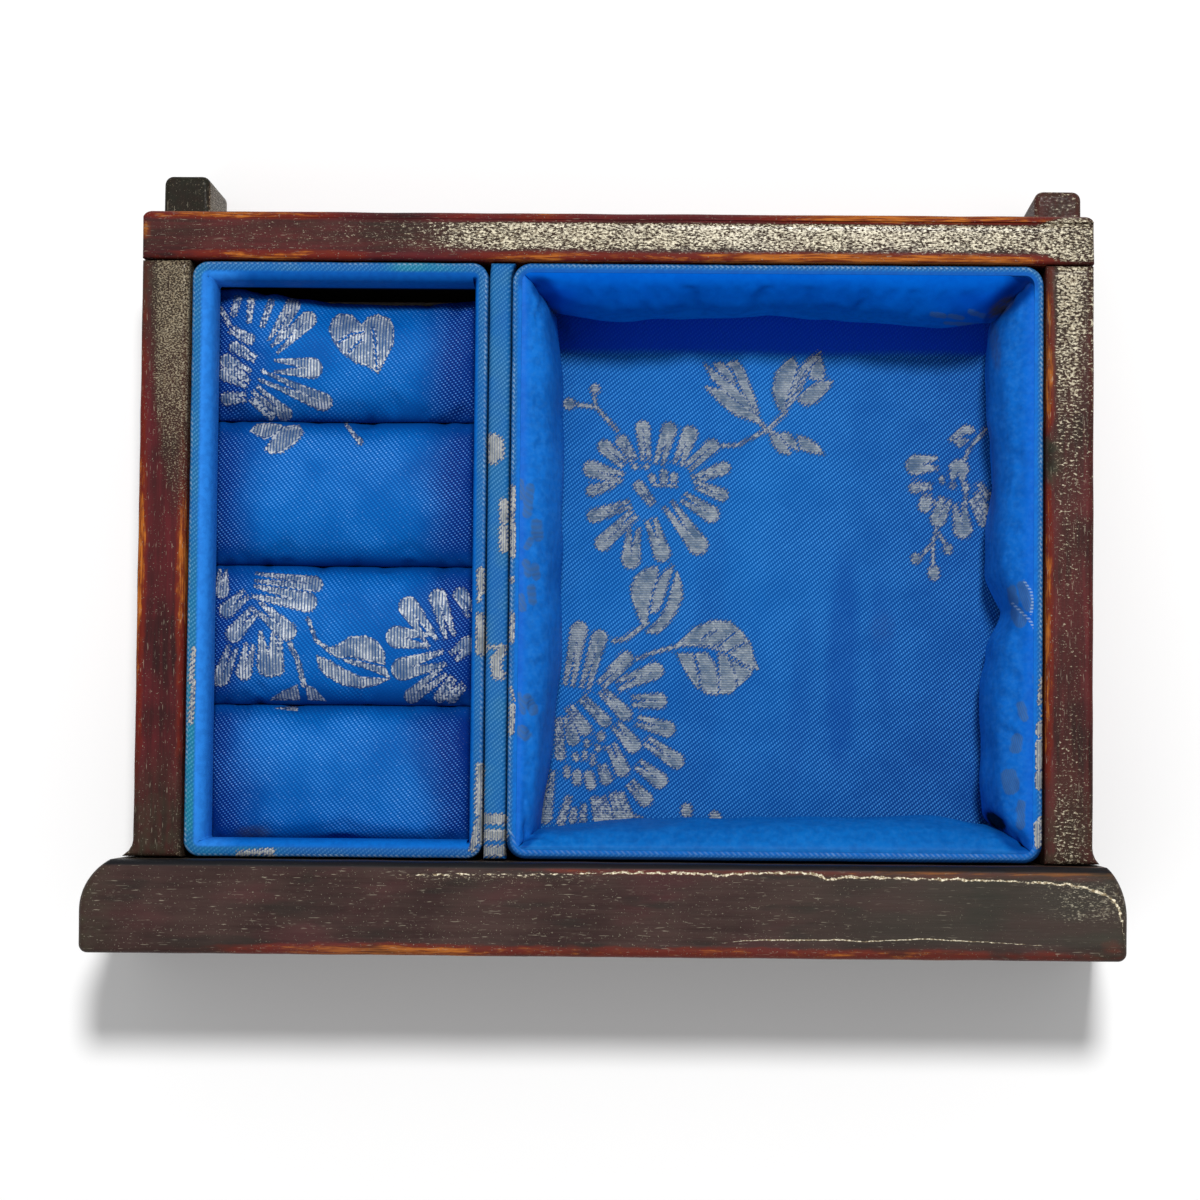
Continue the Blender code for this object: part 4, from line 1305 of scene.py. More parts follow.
# %% Wrap the tray walls
TRAY_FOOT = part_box("ring_tray_walls")[0].z
TRAY_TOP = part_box("ring_tray_walls")[1].z
RING_WALL, RING_CORNER = 2.2 * MM, 2.6 * MM
OPEN_WALL, OPEN_CORNER = 1.6 * MM, 3.2 * MM
CORNER_STEPS = 9


def band_stations(low, high, corner, step):
    """Points round a rectangle with round corners: a point, and the direction to its inside."""
    stations = []
    middles = [
        (high.x - corner, high.y - corner),
        (low.x + corner, high.y - corner),
        (low.x + corner, low.y + corner),
        (high.x - corner, low.y + corner),
    ]
    for index, middle in enumerate(middles):
        for turn in range(CORNER_STEPS):
            angle = math.pi / 2 * (index + turn / (CORNER_STEPS - 1))
            inward = (-math.cos(angle), -math.sin(angle))
            stations.append((middle[0] - corner * inward[0], middle[1] - corner * inward[1], inward))
        following = middles[(index + 1) % 4]
        run = (following[0] - middle[0], following[1] - middle[1])
        count = round(math.hypot(*run) / step)
        x, y, inward = stations[-1]
        for part in range(1, count):
            share = part / count
            stations.append((x + run[0] * share, y + run[1] * share, inward))
    return stations


def outer_profile(rounding):
    """Up the outer face and over its round edge: how far in, and how far below the top."""
    profile = [(0, (TRAY_TOP - TRAY_FOOT) * share) for share in (1, 0.7, 0.4, 0.15)]
    for step in range(7):
        angle = math.pi / 2 * step / 6
        profile.append((rounding * (1 - math.cos(angle)), rounding * (1 - math.sin(angle))))
    return profile


def ring_profile():
    """The ring tray's rim falls softly to the inside."""
    inside = [(1.1, 0.02), (1.4, 0.08), (1.7, 0.22), (1.85, 0.32), (1.95, 0.48), (2.05, 0.7), (2.15, 1)]
    depths = (1.4, 1.8, 2.1, 2.5, 3, 3.5, 4, 5, 6, 7, 8, 9, 10, 11, 12, 16, 21, 26)
    deeper = [(2.2, depth) for depth in depths]
    points = [(inset * MM, depth * MM) for inset, depth in inside + deeper]
    return outer_profile(0.75 * MM) + points + [(RING_WALL, TRAY_TOP - TRAY_FOOT)]


def open_profile():
    """The open tray's rim is flat on top, level with the linings that start at its inner edge."""
    inside = [(0.95, 0), (1.2, 0), (1.4, 0), (1.5, 0), (1.59, 0), (1.6, 0.02), (1.6, 1), (1.6, 4)]
    points = [(inset * MM, depth * MM) for inset, depth in inside + [(1.6, 12), (1.6, 20)]]
    return outer_profile(0.7 * MM) + points + [(OPEN_WALL, TRAY_TOP - TRAY_FOOT)]


def no_swell(inward, depth):
    return 0


def ring_swell(inward, depth):
    """The padding under the ring tray's cloth swells below the rim, but not on the divider's side."""
    sides = max(inward[0], 0) * 1.6 + max(-inward[1], 0) * 1.2 + max(inward[1], 0) * 0.9
    if depth < 4 * MM:
        reach = math.sqrt(max(0.0, 1 - ((4 * MM - depth) / (3.85 * MM)) ** 2))
    else:
        reach = ease(min(1.0, max(0.0, 1 - (depth - 6 * MM) / (5 * MM))))
    return sides * reach * MM


def shape_band(node, corner, profile, swell):
    low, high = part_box(node)
    stations = band_stations(low, high, corner, 0.8 * MM)
    shape = bmesh.new()
    bmesh.ops.create_grid(shape, x_segments=len(stations), y_segments=len(profile), size=0.5)
    for point in shape.verts:
        station = stations[round((point.co.x + 0.5) * len(stations)) % len(stations)]
        inset, depth = profile[round((point.co.y + 0.5) * len(profile)) % len(profile)]
        x, y, inward = station
        soft = abs(noise.noise(Vector((x, y, 0)) / (6 * MM))) * 0.12 * MM
        top = max(0.0, 1 - depth / (3 * MM))
        if inset > 1.6 * MM:
            inset += swell(inward, depth)
        inset += soft * top * (inset < 1 * MM)
        point.co = (x + inward[0] * inset, y + inward[1] * inset, TRAY_TOP - depth - soft * 0.6 * top)
    bmesh.ops.remove_doubles(shape, verts=shape.verts, dist=MM / 1000)
    return shape


def inset_of(points, low, high, corner):
    """How far points are inside the tray's outer face, seen from above."""
    middle, half = (np.array(low) + np.array(high)) / 2, (np.array(high) - np.array(low)) / 2
    out = np.abs(points[:, :2] - middle[:2]) - half[:2] + corner
    return corner - np.hypot(*np.maximum(out, 0).T) - np.minimum(out.max(1), 0)


def to_rim_marks(points):
    away = to_marks(points, RIM_MARKS)
    return np.where(np.asarray(points)[:, 2] > TRAY_TOP - 3 * MM, away, FAR)


def rim_brocade(name, edge, teal=None, line=0.5, front_line=0.0, lit=False):
    """Twill up to a distance from the outer edge, then satin. A row of pale dots runs along it."""
    cloth = Cloth(name, cloudy=0.25, gloss=0.06)
    inset = cloth.stored("inset")
    twilled = inset.rise((edge + 0.35) * MM, (edge - 0.30) * MM)
    dusty = cloth.mottle(cloth.place, 240, 3).rise(0.3, 0.75)
    cloth.tint(1 - twilled, SATIN_BLUE)
    # Painted shade on the satin of the back walls, which face away from the key light.
    cloth.tint((1 - twilled) * cloth.y.rise(44 * MM, 46 * MM) * 0.45, (0.0003, 0.030, 0.210))
    # Painted light on the satin inside the ring tray's left wall, which faces the key light.
    if lit:
        cloth.tint((1 - twilled) * cloth.x.rise(-60 * MM, -66 * MM) * 0.9, (0.035, 0.310, 0.960))
    cloth.tint(twilled * (dusty * 0.35 + 0.45), DUSTY_BLUE)
    if teal:
        cloth.tint(teal(cloth) * twilled, TEAL)
    dots = raised_threads(cloth.x + cloth.z * 0.8, cloth.y + cloth.z * 0.6)
    cloth.weave(dots * twilled * (dusty * 0.4 + 0.7), 0.55, (0.12, 0.32, 0.60), 0.30, 0.85)
    # Painted shade: the front of the rim faces away from the key light, so its twill is darker, its rounded
    # outer edge nearly black and its pale dots dimmer.
    cloth.tint(cloth.y.rise(-46 * MM, -48 * MM) * twilled * 0.35, (0.003, 0.065, 0.300))
    front = cloth.y.rise(-46 * MM, -48 * MM) * (front_line > 0)
    cloth.tint(front * inset.rise(0.75 * MM, 0.45 * MM) * 0.85, (0.002, 0.022, 0.090))
    fold = abs(inset - line * MM - front * front_line * MM).rise(0.26 * MM + front * 0.2 * MM, 0.08 * MM)
    beads = ((cloth.x + cloth.y) / (0.92 * MM)).wave().rise(0.40, 0.80)
    pale = (1 - front * 0.45) * (dusty * 0.7 + 0.2)
    cloth.tint(fold * (beads * 0.65 + 0.05) * pale, (0.30, 0.44, 0.62))
    streaks = cloth.mottle(cloth.place, 900, 3)
    cloth.tint((1 - twilled) * streaks.rise(0.62, 0.35) * 0.2, DEEP_BLUE)
    cloth.silver(cloth.x, cloth.y, 0.42)
    # Painted shade: nearly black deep inside the walls, where little light reaches.
    deep = (TRAY_TOP - 12.5 * MM - cloth.z).rise(0, 2.5 * MM) * inset.rise(0.9 * MM, 1.3 * MM)
    cloth.tint(deep, (0.006, 0.005, 0.006))
    return cloth.done(0.08)


def wrap_tray(node, name, body, corner, profile, swell, finish):
    shape = shape_band(node, corner, profile, swell)
    finer(shape, to_rim_marks, 3)
    piece = add_piece(shape, name, body, finish, [node], smooth=60)
    points = mesh_points(piece.data)
    store(piece.data, "silver", to_rim_marks(points))
    store(piece.data, "inset", inset_of(points, *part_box(node), corner))


def ring_teal(cloth):
    """The left rim and its front corner have faded to teal, and so has a patch at the back."""
    inner = cloth.x.rise(-67.4 * MM, -68.2 * MM) * cloth.x.rise(-70.5 * MM, -69.9 * MM)
    left = inner * (cloth.y.rise(8 * MM, -30 * MM) * 0.75 + 0.25)
    front = cloth.y.rise(-48.6 * MM, -49.6 * MM) * cloth.x.rise(-50 * MM, -60 * MM)
    back = cloth.y.rise(46.8 * MM, 47.8 * MM) * abs(cloth.x + 31 * MM).rise(9 * MM, 3 * MM)
    patchy = cloth.mottle(cloth.place, 200, 2).rise(0.3, 0.6)
    faded = left.most(front * 0.8).most(back * 0.9) * (patchy * 0.5 + 0.4)
    return faded * cloth.z.rise(TRAY_TOP - 4 * MM, TRAY_TOP - 2 * MM)


ring_finish = rim_brocade("ring_tray_wrap", 1.6, ring_teal, 0.35, lit=True)
open_finish = rim_brocade("open_tray_wrap", 0.95, None, 0.40, front_line=0.85)
wrap_tray(
    "ring_tray_walls", "ring_tray_wrap", "ring_tray", RING_CORNER, ring_profile(), ring_swell,
    ring_finish,
)
wrap_tray(
    "open_tray_walls", "open_tray_wrap", "open_tray", OPEN_CORNER, open_profile(), no_swell,
    open_finish,
)

# %% [markdown]
# ## The divider strip
#
# The strip between the trays is a thin board in the same cloth. Its back end leans over to the right.

# %% Cover the divider strip


def shape_divider():
    low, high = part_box("divider_strip")
    shape = bmesh.new()
    add_box(shape, low, high)
    level = [e for e in shape.edges if all(v.co.z > high.z - MM / 100 for v in e.verts)]
    round_edges(shape, level, 0.9 * MM, 5)
    slice_along(shape, 1, 0.8 * MM)
    slice_along(shape, 0, 0.8 * MM)
    middle = (low.x + high.x) / 2
    for point in shape.verts:
        back = max(0.0, (point.co.y - high.y) / (3 * MM) + 1) ** 2
        point.co.x += back * (0.45 * MM + (point.co.x - middle) * 0.16) + (point.co.x - middle) * 0.05
    dent(shape, 0.05 * MM, 6 * MM)
    return shape


def divider_teal(cloth):
    return cloth.mottle(cloth.place, 120, 2).rise(0.3, 0.7) * 0.12


def cover_divider():
    shape = shape_divider()
    finer(shape, to_rim_marks, 3)
    finish = rim_brocade("divider_cover", 9, divider_teal, -9)
    piece = add_piece(shape, "divider_cover", "case", finish, ["divider_strip"])
    points = mesh_points(piece.data)
    store(piece.data, "silver", to_rim_marks(points))
    store(piece.data, "inset", points[:, 0] * 0)


cover_divider()

# %% [markdown]
# ## The floor of the open tray
#
# A thin padded sheet of brocade lies on the tray's card. It isn't quite flat.

# %% Lay the floor


def grid_block(cells, place):
    """A closed block of small faces. place turns shares from 0 to 1 into a point."""
    shape = bmesh.new()
    half = Matrix.Translation((0.5, 0.5, 0.5))
    turns = [Matrix.Identity(4), Matrix.Rotation(math.pi / 2, 4, "X"), Matrix.Rotation(math.pi / 2, 4, "Y")]
    counts = [(cells[0], cells[1]), (cells[0], cells[2]), (cells[2], cells[1])]
    for turn, (across, down) in zip(turns, counts):
        for side in (-0.5, 0.5):
            put = half @ turn @ Matrix.Translation((0, 0, side))
            bmesh.ops.create_grid(shape, x_segments=across, y_segments=down, size=0.5, matrix=put)
    bmesh.ops.remove_doubles(shape, verts=shape.verts, dist=1e-5)
    for point in shape.verts:
        point.co = place(*point.co)
    return shape


def floor_place(x, y, z):
    low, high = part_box("floor_pad")
    spot = Vector((low.x + (high.x - low.x) * x, low.y + (high.y - low.y) * y, 0))
    edge = min(x, 1 - x, y, 1 - y)
    soft = noise.noise(spot / (14 * MM)) * 0.12 * MM + 0.25 * MM * min(edge * 8, 1) - 0.25 * MM
    spot.z = low.z + (high.z - low.z) * z + (soft if z > 0.5 else 0)
    return spot


def floor_brocade():
    """Fine twill that rises to the right, with painted shade and light where the cloth was folded, painted
    shade toward the front and right, and a painted shadow under the back lining.
    """
    cloth = Cloth("floor_cloth", ground=(0.0016, 0.112, 0.385), cloudy=0.22)
    fold_shading = cloth.mottle(cloth.stretch(cloth.place, (90, 14, 14)), 1, 3)
    # Painted shade and painted light in faint stripes where the cloth was folded.
    cloth.tint(fold_shading.rise(0.52, 0.75) * 0.35, (0.0008, 0.050, 0.23))
    cloth.tint(fold_shading.rise(0.46, 0.25) * 0.35, (0.003, 0.155, 0.52))
    # Painted shade: the floor darkens toward the front and toward the right lining.
    low = cloth.y.rise(-5 * MM, -40 * MM) * 0.4 + cloth.x.rise(25 * MM, 62 * MM) * 0.75
    cloth.tint(low, (0.0008, 0.048, 0.22))
    patchy = cloth.mottle(cloth.place, 130, 3).rise(0.25, 0.7) * 0.4 + 0.7
    cloth.weave(raised_threads(cloth.x, cloth.y, 0, 0.75) * patchy, 0.84, (0.058, 0.300, 0.735), 0.22, 0.72)
    # Painted shadow of the back lining on the floor, with a wavering edge.
    shadow_edge_wave = cloth.mottle(cloth.stretch(cloth.place, (45, 0, 0)), 1, 2) * 1.6 - 0.8
    under = (cloth.y + shadow_edge_wave * MM).rise(36.8 * MM, 38.5 * MM)
    cloth.tint(under * 0.85, (0.0003, 0.040, 0.480))
    cloth.silver(cloth.y, cloth.x, 0.42, FLOOR_SILVER, bright=0.5, between=0.3)
    cloth.shade_and_stain()
    return cloth.done(0.10)


def lay_floor():
    shape = grid_block((86, 96, 1), floor_place)
    finer(shape, to_flowers, 4)
    piece = add_piece(
        shape, "floor_cloth", "open_tray", floor_brocade(), ["floor_pad"], smooth=60
    )
    store(piece.data, "silver", to_flowers(mesh_points(piece.data)))
    store_shade_and_stains(piece)


lay_floor()

# %% [markdown]
# ## Blowing up a cushion
#
# A padded piece starts as a closed shape that is a little too small. Blender's cloth solver then
# blows it up for twenty steps with no gravity, while its glued corners stay pinned. Cloth that is a
# few parts in a hundred too long for its place puckers at the seams. The solver likes things the size
# of a table, so the shape is worked on twenty times too large. No point may move further than a cap,
# so that the cushion stays in its place.

# %% Simulate padded cloth
SCALE_UP = 20
CLOTH_STEPS = 20


def cloth_copy(piece, held, spare):
    """A large copy of a piece with a cloth modifier. held is 1 where a point is glued."""
    mesh = piece.data.copy()
    mesh.vertices.foreach_set("co", (mesh_points(mesh) * SCALE_UP).ravel())
    copy = bpy.data.objects.new("cloth_copy", mesh)
    bpy.context.scene.collection.objects.link(copy)
    group = copy.vertex_groups.new(name="held")
    for index, weight in enumerate(held):
        group.add([index], float(weight), "REPLACE")
    cloth = copy.modifiers.new("cloth", "CLOTH").settings
    cloth.quality = 6
    cloth.use_pressure = True
    cloth.uniform_pressure_force = 4
    cloth.effector_weights.gravity = 0
    cloth.shrink_min = -spare
    cloth.vertex_group_mass = "held"
    cloth.bending_stiffness = 0.3
    return copy


def puff(piece, held, most, spare=0.04):
    """Blows up a piece and moves its points, by the cap at most."""
    start = mesh_points(piece.data)
    copy = cloth_copy(piece, held(start), spare)
    for step in range(1, CLOTH_STEPS + 1):
        bpy.context.scene.frame_set(step)
    grown = copy.evaluated_get(bpy.context.evaluated_depsgraph_get()).to_mesh()
    move = mesh_points(grown) / SCALE_UP - start
    bpy.data.objects.remove(copy, do_unlink=True)
    bpy.context.scene.frame_set(1)
    length = np.linalg.norm(move, axis=1, keepdims=True)
    move *= np.minimum(1, most / np.maximum(length, 1e-9))
    piece.data.vertices.foreach_set("co", (start + move).ravel())
    print(f"{piece.name}: moved {float(length.max()) / MM:.2f} mm before the cap")


def soften(piece, levels, seams=None):
    """One or two rounds of subdivision, kept in the mesh. Edges with both ends in seams stay sharp."""
    if seams is not None:
        ends = np.array([edge.vertices[:] for edge in piece.data.edges])
        crease = piece.data.attributes.new("crease_edge", "FLOAT", "EDGE")
        crease.data.foreach_set("value", seams[ends].all(1).astype(np.float32))
    modifier = piece.modifiers.new("soft", "SUBSURF")
    modifier.levels = modifier.render_levels = levels
    depsgraph = bpy.context.evaluated_depsgraph_get()
    smooth = bpy.data.meshes.new_from_object(piece.evaluated_get(depsgraph))
    piece.modifiers.clear()
    piece.data = smooth


def confine(piece, low, high):
    """Keeps the points of a piece within a box."""
    points = np.clip(mesh_points(piece.data), low, high)
    piece.data.vertices.foreach_set("co", points.ravel())


def sew_flowers(piece, measure, cuts):
    shape = bmesh.new()
    shape.from_mesh(piece.data)
    if cuts:
        finer(shape, measure, cuts)
    shape.to_mesh(piece.data)
    shape.free()
    store(piece.data, "silver", measure(mesh_points(piece.data)))


# %% [markdown]
# ## The ring rolls
#
# Four padded rolls lie side by side, and rings are held in the slots between them. A roll is highest
# in its middle, drops to the slots and to its ends, and is drawn in a little at the sides.

# %% Shape the ring rolls
ROLL_CROWN = 28.0 * MM
LAST_ROLL_REACH = (2.0, 2.0, 1.8, 0.9, 0.3, 0.0, -0.4, -0.3, 0.3, 0.9)
LAST_ROLL_LIFT = (3.0, 2.8, 2.2, 0.9, 0.0, 0.0, 0.0, 0.0, 0.0, 0.4)
ROLLS = [f"ring_roll_{number}" for number in (4, 3, 2, 1)]


def along(shares, place):
    """Reads a table at a place from 0 to 1, with smooth steps between its entries."""
    spot = min(max(place, 0.0), 1.0) * (len(shares) - 1)
    first = min(int(spot), len(shares) - 2)
    mix = ease(spot - first)
    return shares[first] * (1 - mix) + shares[first + 1] * mix


def roll_sides():
    """The front and back of each roll. Neighbours almost touch."""
    boxes = [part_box(node) for node in ROLLS]
    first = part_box("ring_tray_walls")[0].y + RING_WALL + 0.08 * MM
    sides = []
    for index, (low, high) in enumerate(boxes):
        following = boxes[index + 1][0].y if index < 3 else high.y + 0.4 * MM
        last = (high.y + following) / 2 - 0.04 * MM
        sides.append((first, last))
        first = last + 0.08 * MM
    return sides


def roll_place(node, front, back):
    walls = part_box("ring_tray_walls")
    left, right = walls[0].x + RING_WALL + 0.08 * MM, walls[1].x - RING_WALL - 0.08 * MM
    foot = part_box(node)[0].z
    reach = LAST_ROLL_REACH if node == "ring_roll_1" else (0, 0)

    def place(x, y, z):
        end, edge = abs(2 * x - 1), abs(2 * y - 1)
        drop = 1.6 if node == "ring_roll_4" and y < 0.5 else 3.4
        if node == "ring_roll_1" and y > 0.5:
            drop -= along(LAST_ROLL_LIFT, x)
        top = ROLL_CROWN - drop * MM * edge**2.2 - 2.6 * MM * end**4
        half = (back - front) / 2 - 0.7 * MM * ease(z) * (1 - end**2) * edge - 0.6 * MM * (1 - z) ** 4
        wave = noise.noise(Vector((x * 5, front / MM, 0))) * 0.30 * MM * edge**2 * z
        wave += along(reach, x) * MM * (z * max(2 * y - 1, 0)) ** 2
        spot_y = (front + back) / 2 + half * (2 * y - 1) + wave
        return Vector((left + (right - left) * x, spot_y, foot + (top - foot) * z))

    return place


def roll_brocade(name, middle, flowered):
    """Painted shade darkens the cloth where it turns down at the roll's ends, and painted glints light its
    dots.
    """
    cloth = Cloth(name, ground=(0.0016, 0.135, 0.480), cloudy=0.20, gloss=0.04)
    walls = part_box("ring_tray_walls")
    centre, half = (walls[0].x + walls[1].x) / 2, (walls[1].x - walls[0].x) / 2 - RING_WALL
    drift = cloth.mottle(cloth.place, 60, 2) * 0.5 - 0.25
    end = abs(cloth.x - centre) / half + drift
    slope = abs(cloth.y - middle) / (12 * MM)
    # Painted shade at the roll's ends, where the cloth turns down away from the light.
    cloth.tint(end.rise(0.45, 0.85) * (1.2 - slope).rise(0.0, 0.5) * 0.95, (0.0003, 0.010, 0.135))
    dots = raised_threads(cloth.x, cloth.y, 90, 0.8)
    # Where the dots show: at random, and more toward the ends as painted glints, except at the very ends,
    # which stay in painted shade.
    shown = cloth.mottle(cloth.place, 75, 2).rise(0.34, 0.64) * 0.6 + (0.1 if flowered else 0.35)
    zone = shown.most(end.rise(0.45, 0.75) * 0.75) * (1.06 - slope).rise(0.0, 0.38)
    zone = zone * (1 - end.rise(0.88, 1.05) * 0.7)
    cloth.weave(dots * zone, 0.95, (0.070, 0.280, 0.740), 0.20, 0.72)
    # Painted glints: a pale tint on the raised dots.
    sparkle = cloth.mottle(cloth.place, 1500, 1).rise(0.52, 0.70)
    cloth.tint(dots.rise(0.55, 0.90) * sparkle * zone * 0.5, (0.30, 0.50, 0.88))
    cloth.silver(cloth.x, cloth.y, 0.53, ROLL_SILVER, bright=0.85, between=0.95)
    cloth.shade_and_stain()
    return cloth.done(0.11)


def add_roll(node, front, back, flowered):
    place = roll_place(node, front, back)
    shape = grid_block((44, 22, 10), place)
    name = node.replace("ring_roll", "padded_roll")
    finish = roll_brocade(name, (front + back) / 2, flowered)
    piece = add_piece(shape, name, "ring_tray", finish, [node], smooth=180)
    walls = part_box("ring_tray_walls")
    left, right = walls[0].x + RING_WALL, walls[1].x - RING_WALL
    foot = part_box(node)[0].z

    def held(points):
        from_middle = abs(points[:, 0] - (left + right) / 2)
        return (points[:, 2] < foot + 3 * MM) | (from_middle > (right - left) / 2 - 0.2 * MM)

    puff(piece, held, 0.7 * MM)
    soften(piece, 2 if flowered else 1)
    top = back + (2.2 * MM if node == "ring_roll_1" else 0)
    confine(piece, (left + 0.04 * MM, front, foot), (right - 0.04 * MM, top, ROLL_CROWN + 1.5 * MM))
    sew_flowers(piece, to_flowers, 1 if flowered else 2)
    store_shade_and_stains(piece)


for node, (front, back) in zip(ROLLS, roll_sides()):
    add_roll(node, front, back, node in ("ring_roll_1", "ring_roll_3"))

# %% [markdown]
# ## The linings
#
# A loose padded strip of cloth, smooth side out, hangs on each wall of the open tray. It is tucked
# under the rim at the top, swells to a belly, and rests on the floor. Tables say how far each lining
# bulges along its wall, and the ends are mitred into the corners.

# %% Shape the linings
LINING_BULGE = 6 * MM
LINING_TOP = 0.5 * MM
TUCKS = {
    "left_lining": (0.05, 0.20),
    "right_lining": (0.20, 0.30),
    "front_lining": (0.05, 0.25),
    "back_lining": (0.35, 0.30),
}
TUCK_REACH = 9 * MM
HOLLOWS = (
    (67.6, 44.0, 6.6, 2.9, 41, 6.0),
    (65.8, -44.2, 3.6, 1.7, -42, 9.0),
    (68.5, -47.0, 4.6, 2.2, -41, 1.6),
    (-10.9, 44.2, 3.4, 2.2, -45, 2.6),
)
BULGES = {
    "left_lining": (0.45, 0.74, 0.98, 0.96, 1.00, 0.93, 0.80),
    "right_lining": (1.10, 1.12, 1.11, 1.12, 0.95, 0.55, 0.98, 0.95, 0.81, 0.88, 0.98, 1.04, 1.0),
    "front_lining": (0.52, 0.70, 0.80, 0.84, 0.88, 0.90, 0.72),
    "back_lining": (0.90, 0.98, 0.84, 0.80, 0.88, 1.06, 1.10),
}


def lining_depth(place, height, shares, foot_share, belly):
    bulge = LINING_BULGE * along(shares, place)
    if height > belly:
        climb = (height - belly) / (1 - belly)
        return LINING_TOP + (bulge - LINING_TOP) * (1 - climb**2.2) ** 0.55
    return bulge * (1 - (1 - foot_share) * ease((belly - height) / belly))


def hollow(x, y):
    """How far the cloth dips at a point: the linings fold inward where they meet in the corners."""
    dip = 0
    for middle_x, middle_y, long, short, turn, depth in HOLLOWS:
        off_x, off_y = x / MM - middle_x, y / MM - middle_y
        c, s = math.cos(math.radians(turn)), math.sin(math.radians(turn))
        away = math.hypot((off_x * c + off_y * s) / long, (off_y * c - off_x * s) / short)
        dip += depth * MM * ease(max(0.0, 1 - away))
    return dip


def lining_place(name, corner, run, out, length):
    foot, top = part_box(name)[0].z - 0.15 * MM, TRAY_TOP - 0.02 * MM
    foot_share, belly = (0.45, 0.52) if name == "back_lining" else (0.90, 0.30)

    def tuck(x, z):
        """The share of its depth that a lining keeps near its tucked ends."""
        first, last = TUCKS[name]
        start = max(0.0, 1 - length * x / TUCK_REACH) ** 1.5 * first
        end = max(0.0, 1 - length * (1 - x) / TUCK_REACH) ** 1.5 * last
        return 1 - (start + end) * (0.25 + 0.75 * min(z * 1.3, 1))

    def place(x, y, z):
        z = math.sin(z * math.pi / 2)
        depth = lining_depth(x, z, BULGES[name], foot_share, belly)
        spot = Vector((corner[0] + run[0] * length * x, corner[1] + run[1] * length * x, z * 20 * MM))
        middle = math.sin(math.pi * min(z * 1.05, 1))
        depth += noise.noise(spot / (8 * MM)) * 0.7 * MM * middle
        depth += noise.noise(spot / (2.6 * MM)) * 0.12 * MM * middle
        depth = max(depth * tuck(x, z), LINING_TOP * 0.8)
        off = 0.02 * MM + depth * y
        place_along = off + 0.03 * MM + (length - 2 * off - 0.06 * MM) * x
        spot_x = corner[0] + run[0] * place_along + out[0] * off
        spot_y = corner[1] + run[1] * place_along + out[1] * off
        return Vector((spot_x, spot_y, foot + (top - foot - hollow(spot_x, spot_y)) * z))

    return place


def back_shade(cloth):
    """The back lining faces away from the light, most of all at its top and its tucked ends."""
    ends = cloth.x.rise(52 * MM, 64 * MM) * 0.3 + cloth.x.rise(-2 * MM, -12 * MM) * 0.5
    ends = ends * cloth.z.rise(35.1 * MM, 33 * MM)
    return cloth.z.rise(24 * MM, 33 * MM) * 0.5 + ends + 0.1


def left_shade(cloth):
    """The left lining is darker in a thin strip next to the rim."""
    return cloth.x.rise(-12.6 * MM, -14.4 * MM) * 0.45


def right_shade(cloth):
    """The right lining is darker next to the rim."""
    return cloth.x.rise(68 * MM, 71.5 * MM) * 0.45


# The four linings are one satin. Their different grounds and sheens, and the low numbers that lighten their
# lower parts, are painted light and shade after how each wall faces the key light.
LINING_CLOTH = {
    "left_lining": {"ground": (0.008, 0.185, 0.680), "gloss": 0.06, "sheen": 0.10, "shade": left_shade},
    "right_lining": {"ground": (0.0060, 0.155, 0.610), "sheen": 0.10, "low": 0.4, "shade": right_shade},
    "front_lining": {"ground": (0.0030, 0.140, 0.490), "gloss": 0.05, "sheen": 0.06},
    "back_lining": {"ground": (0.0010, 0.160, 0.640), "gloss": 0, "sheen": 0, "low": 0.8, "shade": back_shade},
}


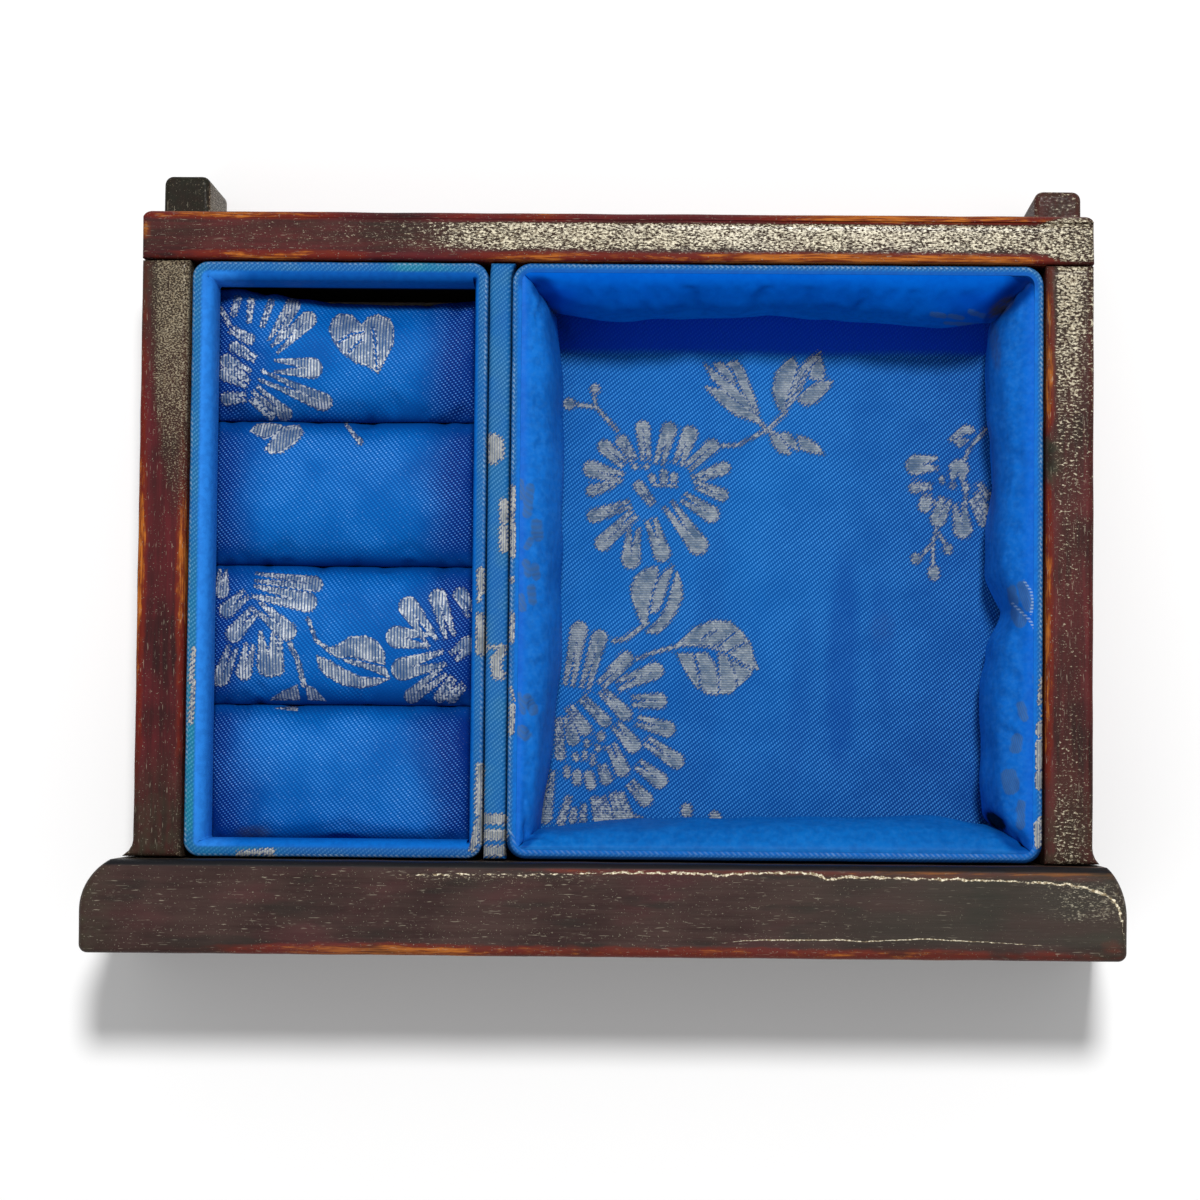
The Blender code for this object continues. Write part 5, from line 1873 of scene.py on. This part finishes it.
def add_lining(name, corner, run, out, length):
    place = lining_place(name, corner, run, out, length)
    shape = grid_block((round(length / (1.2 * MM)), 3, 20), place)
    finish = satin(name + "_satin", **LINING_CLOTH[name])
    label = name.replace("lining", "padding")
    piece = add_piece(shape, label, "open_tray", finish, [name], smooth=60)
    top, foot = TRAY_TOP - 0.8 * MM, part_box(name)[0].z + 0.2 * MM

    def behind(points):
        return (points[:, 0] - corner[0]) * out[0] + (points[:, 1] - corner[1]) * out[1] < 0.3 * MM

    def held(points):
        return behind(points) | (points[:, 2] > top) | (points[:, 2] < foot)

    seam = behind(mesh_points(piece.data)) & (mesh_points(piece.data)[:, 2] > TRAY_TOP - 0.06 * MM)
    puff(piece, held, 0.5 * MM, spare=0.05)
    soften(piece, 1, seam)
    sew_flowers(piece, lambda points: to_marks(points, REVERSE_MARKS), 2)
    store(piece.data, "beads", to_marks(mesh_points(piece.data), REVERSE_BEADS))
    store_shade_and_stains(piece)


def add_linings():
    low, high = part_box("open_tray_walls")
    left, right = low.x + OPEN_WALL, high.x - OPEN_WALL
    front, back = low.y + OPEN_WALL, high.y - OPEN_WALL
    add_lining("left_lining", (left, front), (0, 1), (1, 0), back - front)
    add_lining("right_lining", (right, front), (0, 1), (-1, 0), back - front)
    add_lining("front_lining", (left, front), (1, 0), (0, 1), right - left)
    add_lining("back_lining", (left, back), (1, 0), (0, -1), right - left)


add_linings()

# %% [markdown]
# ## Bare card
#
# The card under the rolls and under the floor cloth hardly shows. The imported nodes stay, with a
# fibrous grey-brown finish.

# %% Finish the cards


def card_finish():
    finish = Finish("bare_card", Roughness=0.85)
    fibres = finish.mottle(finish.stretch(finish.place, (300, 900, 900)), 1, 3)
    finish.feed(Base_Color=finish.mix(fibres.rise(0.3, 0.7), (0.42, 0.355, 0.274), (0.30, 0.25, 0.19)))
    finish.bump(fibres, 0.05 * MM)
    return finish


bare_card = card_finish()
dress("ring_tray_base", bare_card)
dress("open_tray_base", bare_card)

# %% Floor under the chest


def add_floor():
    shape = bmesh.new()
    bmesh.ops.create_grid(shape, x_segments=2, y_segments=2, size=3)
    bmesh.ops.translate(shape, verts=shape.verts, vec=(0, 0, cad_box[0][2] - 0.05 * MM))
    mesh = bpy.data.meshes.new("floor")
    shape.to_mesh(mesh)
    shape.free()
    pale = Finish("pale_floor", Roughness=0.9, Base_Color=(0.93, 0.93, 0.93, 1))
    mesh.materials.append(pale.material)
    floor = bpy.data.objects.new("floor", mesh)
    bpy.context.scene.collection.objects.link(floor)


add_floor()
